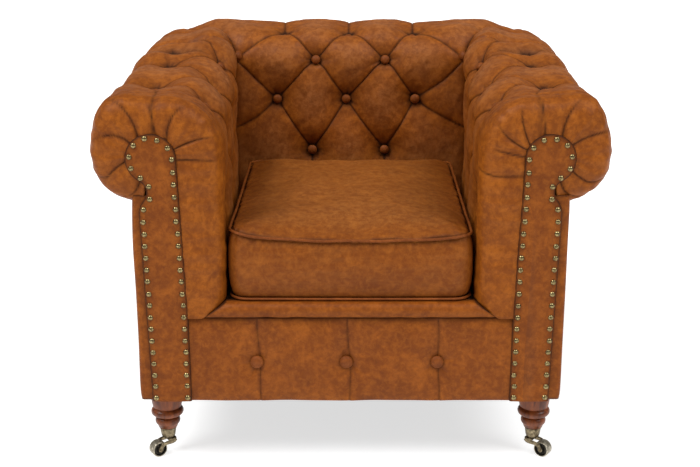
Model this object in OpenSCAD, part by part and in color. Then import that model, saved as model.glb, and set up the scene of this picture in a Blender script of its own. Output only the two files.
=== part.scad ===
// Club armchair with rolled arms: a beech frame, sprung seat, deep-buttoned leather over foam,
// nailed scroll facings, a loose seat cushion, and front legs on brass cup casters.
// X runs across the chair, Y from front to back, Z up; the origin is on the floor under the middle.

/* [Overall] */
// Width over the two arm scrolls
overall_w = 980; // [900:5:1100]
// Depth from the nail heads to the back scroll
overall_d = 900; // [860:5:1000]
// Height of the back's crest
overall_h = 790; // [760:5:830]
// Height of the arms' crest at the front
arm_h = 748; // [720:1:760]
// Height of the body's underside above the floor
body_z = 154; // [145:1:175]

/* [Scrolls] */
// Radius of the outer scroll of the arms and the back
scroll_r = 98; // [90:1:106]
// Flat width of the crest between the scroll and the inner shoulder
crest_w = 52; // [40:1:60]
// How far the scroll stands out past the side of the body
overhang = 76; // [70:1:84]
// Length of arm over which its crest climbs to the back's
rise_len = 300; // [200:10:360]

/* [Upholstery] */
// Leather with its wadding at the top of a puff
skin_t = 22; // [18:1:26]
// Leather with its wadding under a button
skin_min = 5; // [3:0.5:8]
// Foam on the inner faces
foam_t = 30; // [22:1:36]
// Covered boards of the outer sides, the back and the front border
panel_t = 5; // [3:0.5:7]
// Jute lining behind the foam
lining_t = 2; // [1:0.5:4]
// Clearance between soft pieces and what they sit against
fit = 0.3; // [0.2:0.05:0.5]
// How far the padding turns in round the front of an arm
front_turn = 78; // [76:1:80]
// Depth of the rounded front edge of an arm
front_round = 42; // [34:1:50]

/* [Buttoning] */
// Distance between buttons across the back
back_pitch = 163; // [150:1:170]
// Distance between buttons along an arm
arm_pitch = 166; // [160:1:180]
// First crest button of an arm, behind the facing
arm_first = 240; // [220:1:260]
// Button rows of the back, measured up over the padding from the seat
back_rows = [137, 236, 325, 451];
// Button rows of an arm, measured the same way
arm_rows = [165, 270, 374, 503];
// Radius of the tufting buttons
button_r = 11; // [9:0.5:13]
// Height of the tufting buttons
button_h = 6; // [4:0.5:8]
// Radius of the border's buttons
border_button_r = 13.5; // [11:0.5:15]
// Distance between the border's pleats
border_pitch = 178; // [160:1:190]
// Depth of the border's pleats
pleat_d = 3; // [1:0.5:4]

/* [Facings] */
// Thickness of a covered facing board
facing_t = 7; // [5:0.5:9]
// Radius of the facing's head
head_r = 47; // [44:0.5:49]
// Middle of the facing's head, in from the outermost scroll
head_in = 123.5; // [120:0.5:127]
// Drop of the facing's head below the scroll's centre
head_drop = 7; // [2:1:10]
// Radius of the facing's hollow neck
neck_r = 44; // [38:1:50]
// Radius of the facing's shoulder below the neck
shoulder_r = 34; // [28:1:40]
// Width of the facing's foot
facing_foot_w = 81; // [76:1:84]
// Radius of a nail head
nail_r = 5.3; // [4:0.1:6]
// Height of a nail head
nail_h = 3.5; // [2.5:0.1:4.5]
// Distance between nails
nail_pitch = 23.5; // [20:0.5:28]
// Distance of the nail row from the facing's edge
nail_in = 8; // [7:0.5:11]

/* [Seat] */
// Height of the sprung deck
seat_z = 352; // [345:1:360]
// Height of the seam between the lip and the front border
seam_z = 326; // [320:1:332]
// How far the lip's mitred ends reach in front of the arms
lip_turn = 43.7; // [36:0.1:50]
// Height of the cushion's boxing, seam to seam
boxing_h = 122; // [100:1:135]
// Rise of the cushion's crown above its top seam
crown_h = 30; // [15:1:36]
// Space between the cushion and the arms and back
cushion_gap = 11; // [8:1:16]
// Cushion's front face, behind the facing's nail heads
cushion_setback = 20; // [16:1:30]
// Radius of the cushion's corners in plan
cushion_corner = 30; // [24:1:44]
// Radius of the cushion's piping
piping_r = 2.8; // [2:0.1:4]
// Thickness of the cushion's leather
cover_t = 3; // [2:0.5:5]
// Thickness of the deck pad over the springs
deck_t = 17.5; // [14:0.5:19]
// Length of the cushion's zip
zip_l = 380; // [300:10:400]

/* [Frame] */
// Thickness of the scroll boards and side rails
board_t = 28; // [24:1:30]
// Thickness of the front rail
front_rail_t = 32; // [28:1:34]
// Height of the side rails
rail_h = 134; // [110:1:150]
// Thickness of the top planks
plank_t = 22; // [18:1:26]
// Drop of the top planks below the scroll's centre
plank_drop = 70; // [66:1:73]
// Width of the stay rails
stay_w = 40; // [32:1:44]
// Height of the stay rails
stay_h = 28; // [24:1:36]
// Height of the corner blocks
block_h = 40; // [30:1:60]
// Side of a back post
post_w = 44; // [40:1:48]
// Width of a scroll board's stem
stem_w = 57; // [48:1:58]
// Radius of the hanger bolts
bolt_r = 4; // [3:0.5:5]
// Length of a hanger bolt in each piece of wood
bolt_l = 30; // [20:1:34]

/* [Springs] */
// Number of seat springs
spring_n = 5; // [3:1:6]
// Distance between springs
spring_gap = 108; // [80:1:115]
// Width of a spring
spring_w = 50; // [40:1:60]
// Radius of a spring's bends
spring_bend = 15; // [12:0.5:18]
// How far the springs' ends lie on the front and rear rails
spring_seat = 8; // [6:0.5:10]
// Thickness of the spring clips
clip_t = 1.6; // [1:0.1:2]
// Width of the spring clips
clip_w = 16; // [10:1:24]
// Radius of the spring wire
wire_r = 1.9; // [1.5:0.1:2.2]

/* [Legs] */
// Front legs, in from the side of the body
leg_in = 41; // [40:1:46]
// Front legs, behind the nail heads
leg_y = 85; // [82:1:100]
// Radius of a front leg's shoulder under the body
leg_r = 33; // [30:0.5:35]
// Radius of a front leg's upper bead
bead_r = 32.7; // [30:0.1:34]
// Radius of a front leg's lower bead
bead_low_r = 25.2; // [23:0.1:27]
// Side of a rear leg at the body
rear_leg_w = 44; // [40:1:44]
// Side of a rear leg at the floor
rear_foot_w = 32; // [26:1:38]

/* [Casters] */
// Radius of a caster wheel
wheel_r = 16; // [14:0.5:17]
// Width of a caster wheel
wheel_w = 20; // [16:0.5:22]
// Distance from the swivel to the wheel's axle
trail = 24.5; // [23:0.5:27]
// Turn of the casters at rest, out from straight to the side
swivel_turn = 35; // [0:1:60]
// Radius of the cup's mouth
cup_r = 17.1; // [16:0.1:18]
// Wall of the cup
cup_wall = 3; // [2:0.1:4]
// Height of the cup's mouth above the floor
cup_top = 58.5; // [55:0.5:62]
// Radius of the swivel pin
pin_r = 4; // [3:0.5:5]
// Radius of the wheel's axle
axle_r = 2.5; // [2:0.1:3]
// Thickness of a fork arm
fork_t = 3; // [2:0.1:4]
// Running clearance on pins and axles
run_gap = 0.06; // [0.03:0.01:0.1]

/* [Hidden] */
SIDES = ["left", "right"];
function pair(name) = [for (s = SIDES) str(name, "_", s)];
$fn = 48;

// Small set-backs and laps that the planes below use
rise_gap = 12;
border_set = 4.5;
stay_up = 14;
stem_gap = 3;
edge_clear = 12;
button_clear = 30;
head_side = 11;
low_clear = 3;
cap_lap = 8;

// Main planes and edges, all from the sizes above
half_w = overall_w / 2;
front_y = -overall_d / 2;
back_y = overall_d / 2;
facing_y = front_y + nail_h;
board_y = facing_y + facing_t;
scroll_z = arm_h - scroll_r;
rise = overall_h - arm_h;
roll_t = 2 * scroll_r + crest_w;
rise_end = back_y - roll_t - rise_gap;
low_z = seat_z + 1;
wall_l = scroll_z - low_z;
side_x = half_w - overhang;
rear_y = back_y - overhang;
leg_pos = [side_x - leg_in, front_y + leg_y];
frame_x = side_x - panel_t;
frame_y = rear_y - panel_t;
under_a = acos((scroll_r - overhang) / scroll_r);
under_z = scroll_z - scroll_r * sin(under_a);
border_y = board_y + border_set;
rail_y = border_y + panel_t;
lining_x = half_w - roll_t + skin_t + foam_t;
lining_y = back_y - roll_t + skin_t + foam_t;
plank_z = scroll_z - plank_drop;
stay_z = seat_z + stay_up;
stay_x = lining_x + lining_t;
stay_y = lining_y + lining_t;
post_x = frame_x - board_t - post_w;
post_y = frame_y - post_w;
hole_x = half_w - roll_t + front_turn;
stem_x = hole_x + stem_gap;
board_back = board_y + board_t;
spring_z = seam_z - 10;

// Points of an arc about c, from angle a0 to a1 in n steps
function arc(c, r, a0, a1, n) = [for (i = [0:n]) let (a = a0 + (a1 - a0) * i / n) c + r * [cos(a), sin(a)]];
function smooth(t) = let (c = min(1, max(0, t))) c * c * (3 - 2 * c);

// ---- The padding's cross-section: up the inner wall, over the crest and round the scroll ----
// s is the way along it, e how far inside its surface; q is the distance in from the outermost scroll.
quarter = scroll_r * PI / 2;
scroll_s = wall_l + quarter + crest_w;
roll_l = scroll_s + scroll_r * (90 + under_a) * PI / 180;
function roll_angle(s) = s < wall_l ? 0
    : s < wall_l + quarter ? (s - wall_l) / scroll_r * 180 / PI
    : s < scroll_s ? 90
    : 90 + (s - scroll_s) / scroll_r * 180 / PI;
function roll_mid(s) = s < wall_l ? [roll_t - scroll_r, low_z + s]
    : s < wall_l + quarter ? [roll_t - scroll_r, scroll_z]
    : s < scroll_s ? [roll_t - scroll_r - (s - wall_l - quarter), scroll_z]
    : [scroll_r, scroll_z];
function roll_pt(s, e) = let (a = roll_angle(s)) roll_mid(s) + (scroll_r - e) * [cos(a), sin(a)];
// Height z once the section has climbed by k at its crest
function lift(z, k) = z > scroll_z ? z + k : z + k * max(0, z - low_z) / wall_l;
function arm_rise(y) = rise * smooth((y - rise_end + rise_len) / rise_len);

// ---- Deep buttoning: diamonds between staggered rows, with straight pleats past the last rows ----
function row_v(s, rows) = s <= rows[0] ? (s - rows[0]) / (rows[1] - rows[0])
    : s <= rows[1] ? (s - rows[0]) / (rows[1] - rows[0])
    : s <= rows[2] ? 1 + (s - rows[1]) / (rows[2] - rows[1])
    : 2 + (s - rows[2]) / (rows[3] - rows[2]);
function row_s(v, rows) = v <= 1 ? rows[0] + v * (rows[1] - rows[0])
    : v <= 2 ? rows[1] + (v - 1) * (rows[2] - rows[1])
    : rows[2] + (v - 2) * (rows[3] - rows[2]);
function off_line(t) = 2 * abs(t - round(t));
function puff(u, v) = let (
    w = min(3, max(0, v)),
    p = off_line((u + w - 1) / 2),
    r = off_line((u - w - 1) / 2),
    near = max(p, r, min(1, abs(v - w))),
    line = min(p, r))
    1 - 0.6 * pow(1 - line, 2.2) - 0.4 * pow(max(0, 1 - near / 0.6), 1.5);

steps = 3;
low_n = 4;
function rows_s(rows) = let (
    far_s = scroll_s + quarter,
    tail = ceil((far_s - rows[3]) / 36))
    concat([for (i = [0:low_n - 1]) rows[0] * i / low_n],
        [for (i = [0:3 * steps]) row_s(i / steps, rows)],
        [for (i = [1:tail]) rows[3] + (far_s - rows[3]) * i / tail],
        [for (i = [1:3]) far_s + (roll_l - far_s) * i / 3]);
// Where the leather's inner side and the foam have their corners, so that one nests in the other
inner_s = concat([0, wall_l], [for (i = [1:4]) wall_l + quarter * i / 4],
    [for (i = [0:6]) scroll_s + (roll_l - scroll_s) * i / 6]);

// Number of the inner corner that lies closest to s
function near(s) = len([for (i = [1:len(inner_s) - 1]) if (s > (inner_s[i - 1] + inner_s[i]) / 2) i]);
// Faces of a skin made of rings of no outer and ni inner points, with caps at both ends
function strip(b, ss, turn) = let (last = b + len(ss) + len(inner_s) - 1)
    [for (j = [0:len(ss) - 2]) let (m = near(ss[j]), k = near(ss[j + 1]))
        for (f = concat([[b + j, b + j + 1, last - m]],
            m == k ? [] : [for (i = [m:k - 1]) [b + j + 1, last - i - 1, last - i]]))
            turn ? [f[2], f[1], f[0]] : f];
function skin_faces(pts, rings, ss) = let (n = len(ss) + len(inner_s)) concat(
    [for (i = [0:rings - 2], j = [0:n - 1]) let (
        a = i * n + j, b = i * n + (j + 1) % n, c = a + n, d = b + n,
        short = norm(pts[a] - pts[d]) < norm(pts[b] - pts[c]))
        for (f = short ? [[a, b, d], [a, d, c]] : [[a, b, c], [b, d, c]]) f],
    strip(0, ss, true), strip((rings - 1) * n, ss, false));

module skin(rings, ss) {
    pts = [for (r = rings, p = r) p];
    polyhedron(pts, skin_faces(pts, len(rings), ss), convexity = 8);
}

// How far the two paddings sink in towards the corner's seam, at a share f of the way to it
mitre_e = 12;
function crease(s, f) = (f == 1 ? 1 : 0.3) * smooth(s / 60) * smooth((roll_l - s) / 60)
    * (mitre_e + (skin_t - skin_min - mitre_e) * max(0, 1 - abs(s - back_rows[2]) / 60));

// The front edge of an arm turns in to the facing: [behind the facing board, inside the section]
turn_cols = [for (i = [0:5]) let (a = 90 * pow(i / 5, 1.3))
    [front_round * (1 - cos(a)), front_turn * pow(1 - sin(a), 1.5)]];
arm_u0 = -2;
arm_n = floor(((back_y - roll_t - facing_y - arm_first) / (arm_pitch / 2) - arm_u0) * steps - 0.4);
function arm_col_y(i) = facing_y + arm_first + (arm_u0 + i / steps) * arm_pitch / 2;
arm_ys = [for (i = [0:arm_n]) if (arm_col_y(i) > board_y + front_round + edge_clear) arm_col_y(i)];
last_y = arm_col_y(arm_n);
// Close to the front the scroll's underside runs on to the scroll board's stem, d behind its face
function under_s(s, e, d) = let (
    from_x = stem_x + stem_w + 2,
    end_x = from_x + (side_x - from_x) * min(1, d / board_t),
    a = 90 + acos((end_x - half_w + scroll_r) / (scroll_r - e)))
    s < scroll_s || d >= board_t ? s : scroll_s + (s - scroll_s) * a / (90 + under_a);

function arm_point(s, e, y) = let (p = roll_pt(s, e)) [half_w - p[0], y, lift(p[1], arm_rise(y))];
function arm_tuft(s, y) = let (
    u = (y - facing_y - arm_first) / (arm_pitch / 2),
    ends = smooth(s / 60) * smooth((roll_l - s) / 60) * smooth((y - board_y) / 60))
    (skin_t - skin_min) * (1 - puff(u, row_v(s, arm_rows))) * ends;

// The arm's front face runs down beside the lip, to a mitre with the lip's end
function arm_front(s, e, y) = arm_point(s, e, y)
    - [0, 0, s == 0 && y < board_y + front_round ? (low_z - seam_z - fit) * min(1, e / lip_turn) : 0];

module inside_arm() {
    ss = rows_s(arm_rows);
    ni = len(inner_s);
    turned = [for (c = turn_cols) let (e = min(front_turn + 2, max(skin_t, c[1] + 4)),
        d = min(front_round, c[0] + 7)) concat(
        [for (s = ss) arm_front(under_s(s, c[1], c[0]), c[1], board_y + fit + c[0])],
        [for (k = [ni - 1:-1:0]) arm_front(under_s(inner_s[k], e, d), e, board_y + fit + d)])];
    along = [for (y = arm_ys) concat(
        [for (s = ss) arm_point(s, arm_tuft(s, y), y)],
        [for (k = [ni - 1:-1:0]) arm_point(inner_s[k], skin_t, y)])];
    corner = [for (f = [0.5, 1]) concat(
        [for (s = ss) let (y1 = back_y - roll_pt(s, crease(s, 1))[0] - fit, y = last_y * (1 - f) + y1 * f)
            arm_point(s, crease(s, f), y)],
        [for (k = [ni - 1:-1:0]) let (y1 = back_y - roll_pt(inner_s[k], skin_t)[0] - fit,
            y = last_y * (1 - f) + y1 * f) arm_point(inner_s[k], skin_t, y)])];
    rings = concat(turned, along, corner);
    color("peru") skin(rings, ss);
}

back_n = floor((half_w - roll_t) / (back_pitch / 2) * steps - 0.4);
function back_point(s, e, x) = let (p = roll_pt(s, e)) [x, back_y - p[0], lift(p[1], rise)];
function back_tuft(s, x) = (skin_t - skin_min) * (1 - puff(x / (back_pitch / 2), row_v(s, back_rows)))
    * smooth(s / 60) * smooth((roll_l - s) / 60);

module inside_back() {
    ss = rows_s(back_rows);
    ni = len(inner_s);
    end_x = back_n * back_pitch / 2 / steps;
    function end_ring(side, f) = concat(
        [for (s = ss) let (x1 = half_w - roll_pt(s, crease(s, 1))[0], x = end_x * (1 - f) + x1 * f)
            back_point(s, crease(s, f), side * x)],
        [for (k = [ni - 1:-1:0]) let (x1 = half_w - roll_pt(inner_s[k], skin_t)[0],
            x = end_x * (1 - f) + x1 * f) back_point(inner_s[k], skin_t, side * x)]);
    along = [for (i = [-back_n:back_n]) let (x = i * back_pitch / 2 / steps) concat(
        [for (s = ss) back_point(s, back_tuft(s, x), x)],
        [for (k = [ni - 1:-1:0]) back_point(inner_s[k], skin_t, x)])];
    rings = concat([end_ring(-1, 1), end_ring(-1, 0.5)], along, [end_ring(1, 0.5), end_ring(1, 1)]);
    color("peru") skin(rings, ss);
}

// ---- Covered buttons, sitting at the bottom of each tuft ----
module button(r, h) {
    ball = (r * r + h * h) / (2 * h);
    intersection() {
        translate([0, 0, h - ball]) sphere(r = ball, $fn = 64);
        cylinder(r = r, h = h + 1);
    }
}

button_e = skin_t - skin_min - button_h / 2;
module arm_buttons() {
    color("saddlebrown") for (j = [0:3]) let (s = arm_rows[j], a = roll_angle(s))
        for (u = [-2:9]) if ((u + j) % 2 != 0) let (y = facing_y + arm_first + u * arm_pitch / 2,
            q = roll_pt(s, 0)[0])
            if (y > board_y + front_round + button_clear && y < back_y - q - button_clear)
                translate(arm_point(s, button_e, y)) rotate([0, a - 90, 0]) button(button_r, button_h);
}
module back_buttons() {
    color("saddlebrown") for (j = [0:3]) let (s = back_rows[j], a = roll_angle(s), q = roll_pt(s, 0)[0])
        for (u = [-5:5]) if ((u + j) % 2 != 0) let (x = u * back_pitch / 2)
            if (abs(x) < half_w - q - button_clear)
                translate(back_point(s, button_e, x)) rotate([90 - a, 0, 0]) button(button_r, button_h);
    s = back_rows[2];
    tilt = atan(sqrt(2) * tan(roll_angle(s)));
    color("saddlebrown") for (k = [-1, 1])
        translate(back_point(s, button_e, k * (half_w - roll_pt(s, button_e)[0])))
            rotate([0, 90 - tilt, -90 - 45 * k]) button(button_r, button_h);
}
module border_buttons() {
    color("saddlebrown") for (i = [-1:1])
        translate([i * border_pitch, border_y - fit, (body_z + seam_z) / 2 - 5]) rotate([90, 0, 0])
            button(border_button_r, button_h + 1);
}

// ---- Foam ----
// Outline of the foam, e inside the padding and climbing by k; its inner edge follows the frame
function section(e, k) = concat(
    [for (s = inner_s) let (p = roll_pt(s, e)) [p[0], lift(p[1], k)]],
    [[overhang + panel_t, plank_z + fit], [roll_t - skin_t - foam_t, plank_z + fit],
        [roll_t - skin_t - foam_t, low_z]]);
// A solid through closed rings of points
module loft(rings) {
    n = len(rings[0]);
    m = len(rings);
    polyhedron([for (r = rings, p = r) p], concat(
        [for (i = [0:m - 2], k = [0:n - 1]) let (a = i * n, l = (k + 1) % n)
            for (f = [[a + k, a + l, a + n + k], [a + l, a + n + l, a + n + k]]) f],
        [[for (k = [n - 1:-1:0]) k], [for (k = [0:n - 1]) (m - 1) * n + k]]), convexity = 6);
}
module arm_foam() {
    e = skin_t + fit;
    flat_y = rise_end - rise_len - arm_pitch / 2 / steps;
    ys = concat([board_back + fit], [for (c = arm_ys) if (c > flat_y) c]);
    rings = concat(
        [for (y = ys) [for (p = section(e, arm_rise(y))) [half_w - p[0], y, p[1]]]],
        [[for (p = section(e, rise)) [half_w - p[0], back_y - p[0] - 2 * fit, p[1]]]]);
    color("wheat") loft(rings);
}
module back_foam() {
    e = skin_t + fit;
    rings = [for (f = [-1, -0.5, 0.5, 1])
        [for (p = section(e, rise)) [f * (half_w - p[0]), back_y - p[0], p[1]]]];
    color("wheat") loft(rings);
}

// ---- Outer panels ----
module outside_arm() {
    tops = [for (i = [0:12]) let (y = board_y + (rear_y - board_y) * i / 12)
        [y, lift(under_z, arm_rise(y)) - low_clear]];
    color("sienna") union() {
        translate([frame_x, 0, 0]) rotate([90, 0, 90]) linear_extrude(panel_t)
            polygon(concat([[rear_y, body_z], [board_y, body_z]], tops));
        translate([stem_x + stem_w + 1, board_y, body_z])
            cube([frame_x - stem_x - stem_w - 0.5, panel_t, under_z - body_z - low_clear]);
    }
}
module outside_back() {
    color("sienna") translate([fit - frame_x, frame_y, body_z])
        cube([2 * (frame_x - fit), panel_t, lift(under_z, rise) - low_clear - body_z]);
}
module front_border() {
    half = stem_x - fit;
    notches = [for (i = [1:-1:-1], p = [[3, 0], [0, pleat_d], [-3, 0]])
        [i * border_pitch + p[0], border_y + p[1]]];
    color("sienna") translate([0, 0, body_z]) linear_extrude(seam_z - body_z)
        polygon(concat([[-half, border_y], [-half, rail_y], [half, rail_y], [half, border_y]], notches));
}
module front_lip() {
    low_half = half_w - roll_t + lip_turn - fit;
    top_half = half_w - roll_t - fit;
    y0 = facing_y + 3.5;
    round_r = 16;
    profile = concat([[lip_back, seat_z], [lip_back, spring_z + fit], [rail_y + fit, spring_z + fit],
        [rail_y + fit, seam_z + fit], [y0, seam_z + fit]],
        arc([y0 + round_r, seat_z - round_r], round_r, 180, 90, 6));
    color("sienna") intersection() {
        translate([-low_half, 0, 0]) rotate([90, 0, 90]) linear_extrude(2 * low_half) polygon(profile);
        rotate([90, 0, 0]) linear_extrude(overall_d, center = true)
            polygon([[-low_half, seam_z], [low_half, seam_z], [top_half, seat_z], [-top_half, seat_z]]);
    }
}
module dust_cover() {
    t = 1.2;
    color("dimgray") translate([0, 0, body_z - t - fit]) linear_extrude(t) difference() {
        polygon([[-side_x + 12, border_y + 12], [side_x - 12, border_y + 12],
            [side_x - 12, rear_y - 8], [-side_x + 12, rear_y - 8]]);
        for (s = [-1, 1]) {
            translate([s * leg_pos[0], leg_pos[1]]) circle(r = leg_r + 2);
            translate([s * (post_x + post_w / 2), post_y + post_w / 2]) square(rear_leg_w + 4, center = true);
        }
    }
}

// ---- Scroll facings and their nails ----
head_c = [half_w - head_in, scroll_z - head_drop];
neck_a = 50.5;
hip_a = 38;
neck_c = head_c + (head_r + neck_r) * [cos(neck_a), -sin(neck_a)];
hip_c = neck_c - (neck_r + shoulder_r) * [cos(hip_a), sin(hip_a)];
foot_in = head_c[0] - head_r - head_side;
function facing_path(e) = concat([[foot_in + e, body_z]],
    arc(head_c, head_r - e, 180, -neck_a, 20),
    arc(neck_c, neck_r + e, 180 - neck_a, 180 + hip_a, 8),
    arc(hip_c, shoulder_r - e, hip_a, 0, 5),
    [[foot_in + facing_foot_w - e, body_z]]);
module facing() {
    color("sienna") translate([0, board_y, 0]) rotate([90, 0, 0]) linear_extrude(facing_t)
        polygon(facing_path(0));
}
function path_len(p, i = 0) = i >= len(p) - 1 ? 0 : norm(p[i + 1] - p[i]) + path_len(p, i + 1);
function along(p, d, i = 0) = let (l = norm(p[i + 1] - p[i]))
    d <= l || i >= len(p) - 2 ? p[i] + (p[i + 1] - p[i]) * d / l : along(p, d - l, i + 1);
module nails() {
    row = facing_path(nail_in);
    total = path_len(row) - 2 * nail_in;
    n = floor(total / nail_pitch);
    color("darkgoldenrod") for (i = [0:n]) let (p = along(row, nail_in + total * i / n))
        translate([p[0], facing_y, p[1]]) rotate([90, 0, 0]) button(nail_r, nail_h);
}

// ---- Timber frame ----
module front_rail() {
    color("burlywood") translate([fit - stem_x, rail_y, body_z])
        cube([2 * (stem_x - fit), front_rail_t, spring_z - body_z]);
}
module rear_rail() {
    color("burlywood") translate([-post_x, frame_y - board_t, body_z])
        cube([2 * post_x, board_t, spring_z - body_z]);
}
module side_rail() {
    color("burlywood") translate([frame_x - board_t, board_y + panel_t, body_z])
        cube([board_t, frame_y - board_y - panel_t, rail_h]);
}
module scroll_board() {
    head = 16;
    top = arm_h - front_turn - 4;
    color("burlywood") translate([0, board_back, 0]) rotate([90, 0, 0]) linear_extrude(board_t) union() {
        translate([stem_x, body_z]) square([stem_w, top - head - body_z]);
        translate([stem_x + stem_w - cap_lap, top - head]) circle(r = head);
    }
}
module back_post() {
    color("burlywood") difference() {
        translate([post_x, post_y, body_z]) cube([post_w, post_w, plank_z - plank_t - body_z]);
        translate([post_x + post_w / 2, post_y + post_w / 2, body_z - 1])
            cylinder(r = bolt_r + 0.05, h = bolt_l + 2);
    }
}
module arm_plank() {
    color("burlywood") translate([stay_x, board_back, plank_z - plank_t])
        cube([frame_x - fit - stay_x, frame_y - board_back, plank_t]);
}
module back_plank() {
    color("burlywood") translate([-stay_x, stay_y, plank_z - plank_t])
        cube([2 * stay_x, frame_y - stay_y, plank_t]);
}
module arm_stay() {
    color("burlywood") translate([stay_x, board_back, stay_z - stay_h])
        cube([stay_w, post_y - board_back, stay_h]);
}
module back_stay() {
    color("burlywood") translate([-stay_x, stay_y, stay_z - stay_h])
        cube([2 * stay_x, board_t, stay_h]);
}

block_lap = 40;
block_reach = 98;
module corner_blocks() {
    inner_x = frame_x - board_t;
    y0 = rail_y + front_rail_t;
    color("burlywood") for (s = [0, 1]) mirror([s, 0, 0]) {
        difference() {
            translate([0, 0, body_z]) linear_extrude(block_h)
                polygon([[inner_x, board_back], [stem_x, board_back], [stem_x, y0],
                    [stem_x - block_lap, y0], [inner_x, y0 + block_reach]]);
            translate([leg_pos[0], leg_pos[1], body_z - 1]) cylinder(r = bolt_r + 0.05, h = block_h + 2);
        }
        translate([0, 0, body_z]) linear_extrude(block_h)
            polygon([[inner_x, post_y], [post_x, post_y], [inner_x, post_y - post_w]]);
    }
}
module hanger_bolts() {
    color("silver") for (s = [-1, 1]) {
        translate([s * leg_pos[0], leg_pos[1], body_z - bolt_l]) cylinder(r = bolt_r, h = bolt_l + block_h - 2);
        translate([s * (post_x + post_w / 2), post_y + post_w / 2, body_z - bolt_l])
            cylinder(r = bolt_r, h = 2 * bolt_l);
    }
}

// ---- Springs ----
spring_y0 = rail_y + front_rail_t - spring_seat;
spring_y1 = frame_y - board_t + spring_seat;
clip_in = wire_r + 0.4;
clip_out = clip_in + clip_t;
clip_reach = clip_out + 6;
lip_back = spring_y0 - clip_reach - 1;
spring_top = seat_z - deck_t - fit - wire_r;
bars = 2 * floor((spring_y1 - spring_y0) / (4 * spring_bend));
bar_gap = (spring_y1 - spring_y0) / bars;
function spring_at(x, y) = let (t = (y - spring_y0) / (spring_y1 - spring_y0))
    [x, y, spring_z + wire_r + 0.1 + (spring_top - spring_z - wire_r - 0.1) * sin(180 * t)];
spring_path = [for (i = [0:bars]) let (d = i % 2 == 0 ? 1 : -1, y = spring_y0 + i * bar_gap,
    w = spring_w / 2, b = bar_gap / 2)
    for (p = i == bars ? [[-d * (w - b), y], [d * (w - b), y]]
        : [[-d * (w - b), y], [d * (w - b), y], [d * w, y + b]]) spring_at(p[0], p[1])];
// A tube of radius r with n sides along pts
function turn_at(pts, i, closed) = let (
    m = len(pts),
    a = closed ? pts[(i + m - 1) % m] : pts[max(0, i - 1)],
    b = closed ? pts[(i + 1) % m] : pts[min(m - 1, i + 1)],
    u = pts[i] - a, v = b - pts[i],
    d = (norm(u) > 0 ? u / norm(u) : [0, 0, 0]) + (norm(v) > 0 ? v / norm(v) : [0, 0, 0]))
    d / norm(d);
module tube(pts, r, n, closed = false) {
    m = len(pts);
    rings = [for (i = [0:m - 1]) let (t = turn_at(pts, i, closed), side = cross([0, 0, 1], t),
        su = side / norm(side), up = cross(t, su),
        prev = closed ? pts[(i + m - 1) % m] : pts[max(0, i - 1)],
        seg = norm(pts[i] - prev) > 0 ? (pts[i] - prev) / norm(pts[i] - prev) : t,
        wide = 1 / max(0.6, seg * t))
        for (k = [0:n - 1]) pts[i] + r * (wide * cos(360 * k / n) * su + sin(360 * k / n) * up)];
    last = closed ? m - 1 : m - 2;
    sides = [for (i = [0:last], k = [0:n - 1]) let (a = i * n, b = ((i + 1) % m) * n, l = (k + 1) % n)
        for (f = [[a + k, b + k, a + l], [b + k, b + l, a + l]]) f];
    caps = closed ? [] : [[for (k = [0:n - 1]) k], [for (k = [n - 1:-1:0]) (m - 1) * n + k]];
    polyhedron(rings, concat(sides, caps), convexity = 10);
}
module seat_springs() {
    color("silver") for (i = [0:spring_n - 1])
        translate([(i - (spring_n - 1) / 2) * spring_gap, 0, 0]) tube(spring_path, wire_r, 5);
}
// A clip hooks over the spring's end wire, and its foot is nailed to the rail
module spring_clips() {
    floor_z = -wire_r - 0.1;
    tip_z = -wire_r * 0.4;
    color("gray") for (i = [0:spring_n - 1], e = [0, 1])
        translate([(i - (spring_n - 1) / 2) * spring_gap - clip_w / 2, e == 0 ? spring_y0 : spring_y1,
            spring_z - floor_z]) mirror([0, e, 0]) rotate([90, 0, 90]) linear_extrude(clip_w)
            polygon([[-clip_reach, floor_z + 0.1], [-clip_in, floor_z], [-clip_in, clip_in], [clip_in, clip_in],
                [clip_in, tip_z], [clip_out, tip_z], [clip_out, clip_out], [-clip_out, clip_out],
                [-clip_out, floor_z + clip_t], [-clip_reach, floor_z + clip_t]]);
}
// The deck runs under the paddings, and between the arms' turned-in fronts it reaches the lip
module deck_pad() {
    wide = lining_x - fit;
    narrow = half_w - roll_t - fit;
    y0 = lip_back + fit;
    y1 = board_y + front_round + 2 * fit;
    y2 = lining_y - fit;
    color("tan") translate([0, 0, seat_z - deck_t]) linear_extrude(deck_t)
        polygon([[-narrow, y0], [narrow, y0], [narrow, y1], [wide, y1],
            [wide, y2], [-wide, y2], [-wide, y1], [-narrow, y1]]);
}
module arm_lining() {
    color("tan") translate([lining_x, board_back + fit, stay_z - stay_h + 4])
        cube([lining_t, stay_y - board_back - 2 * fit, plank_z - 4 - stay_z + stay_h - 4]);
}
module back_lining() {
    color("tan") translate([fit - lining_x, lining_y, stay_z - stay_h + 4])
        cube([2 * (lining_x - fit), lining_t, plank_z - 4 - stay_z + stay_h - 4]);
}

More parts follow.
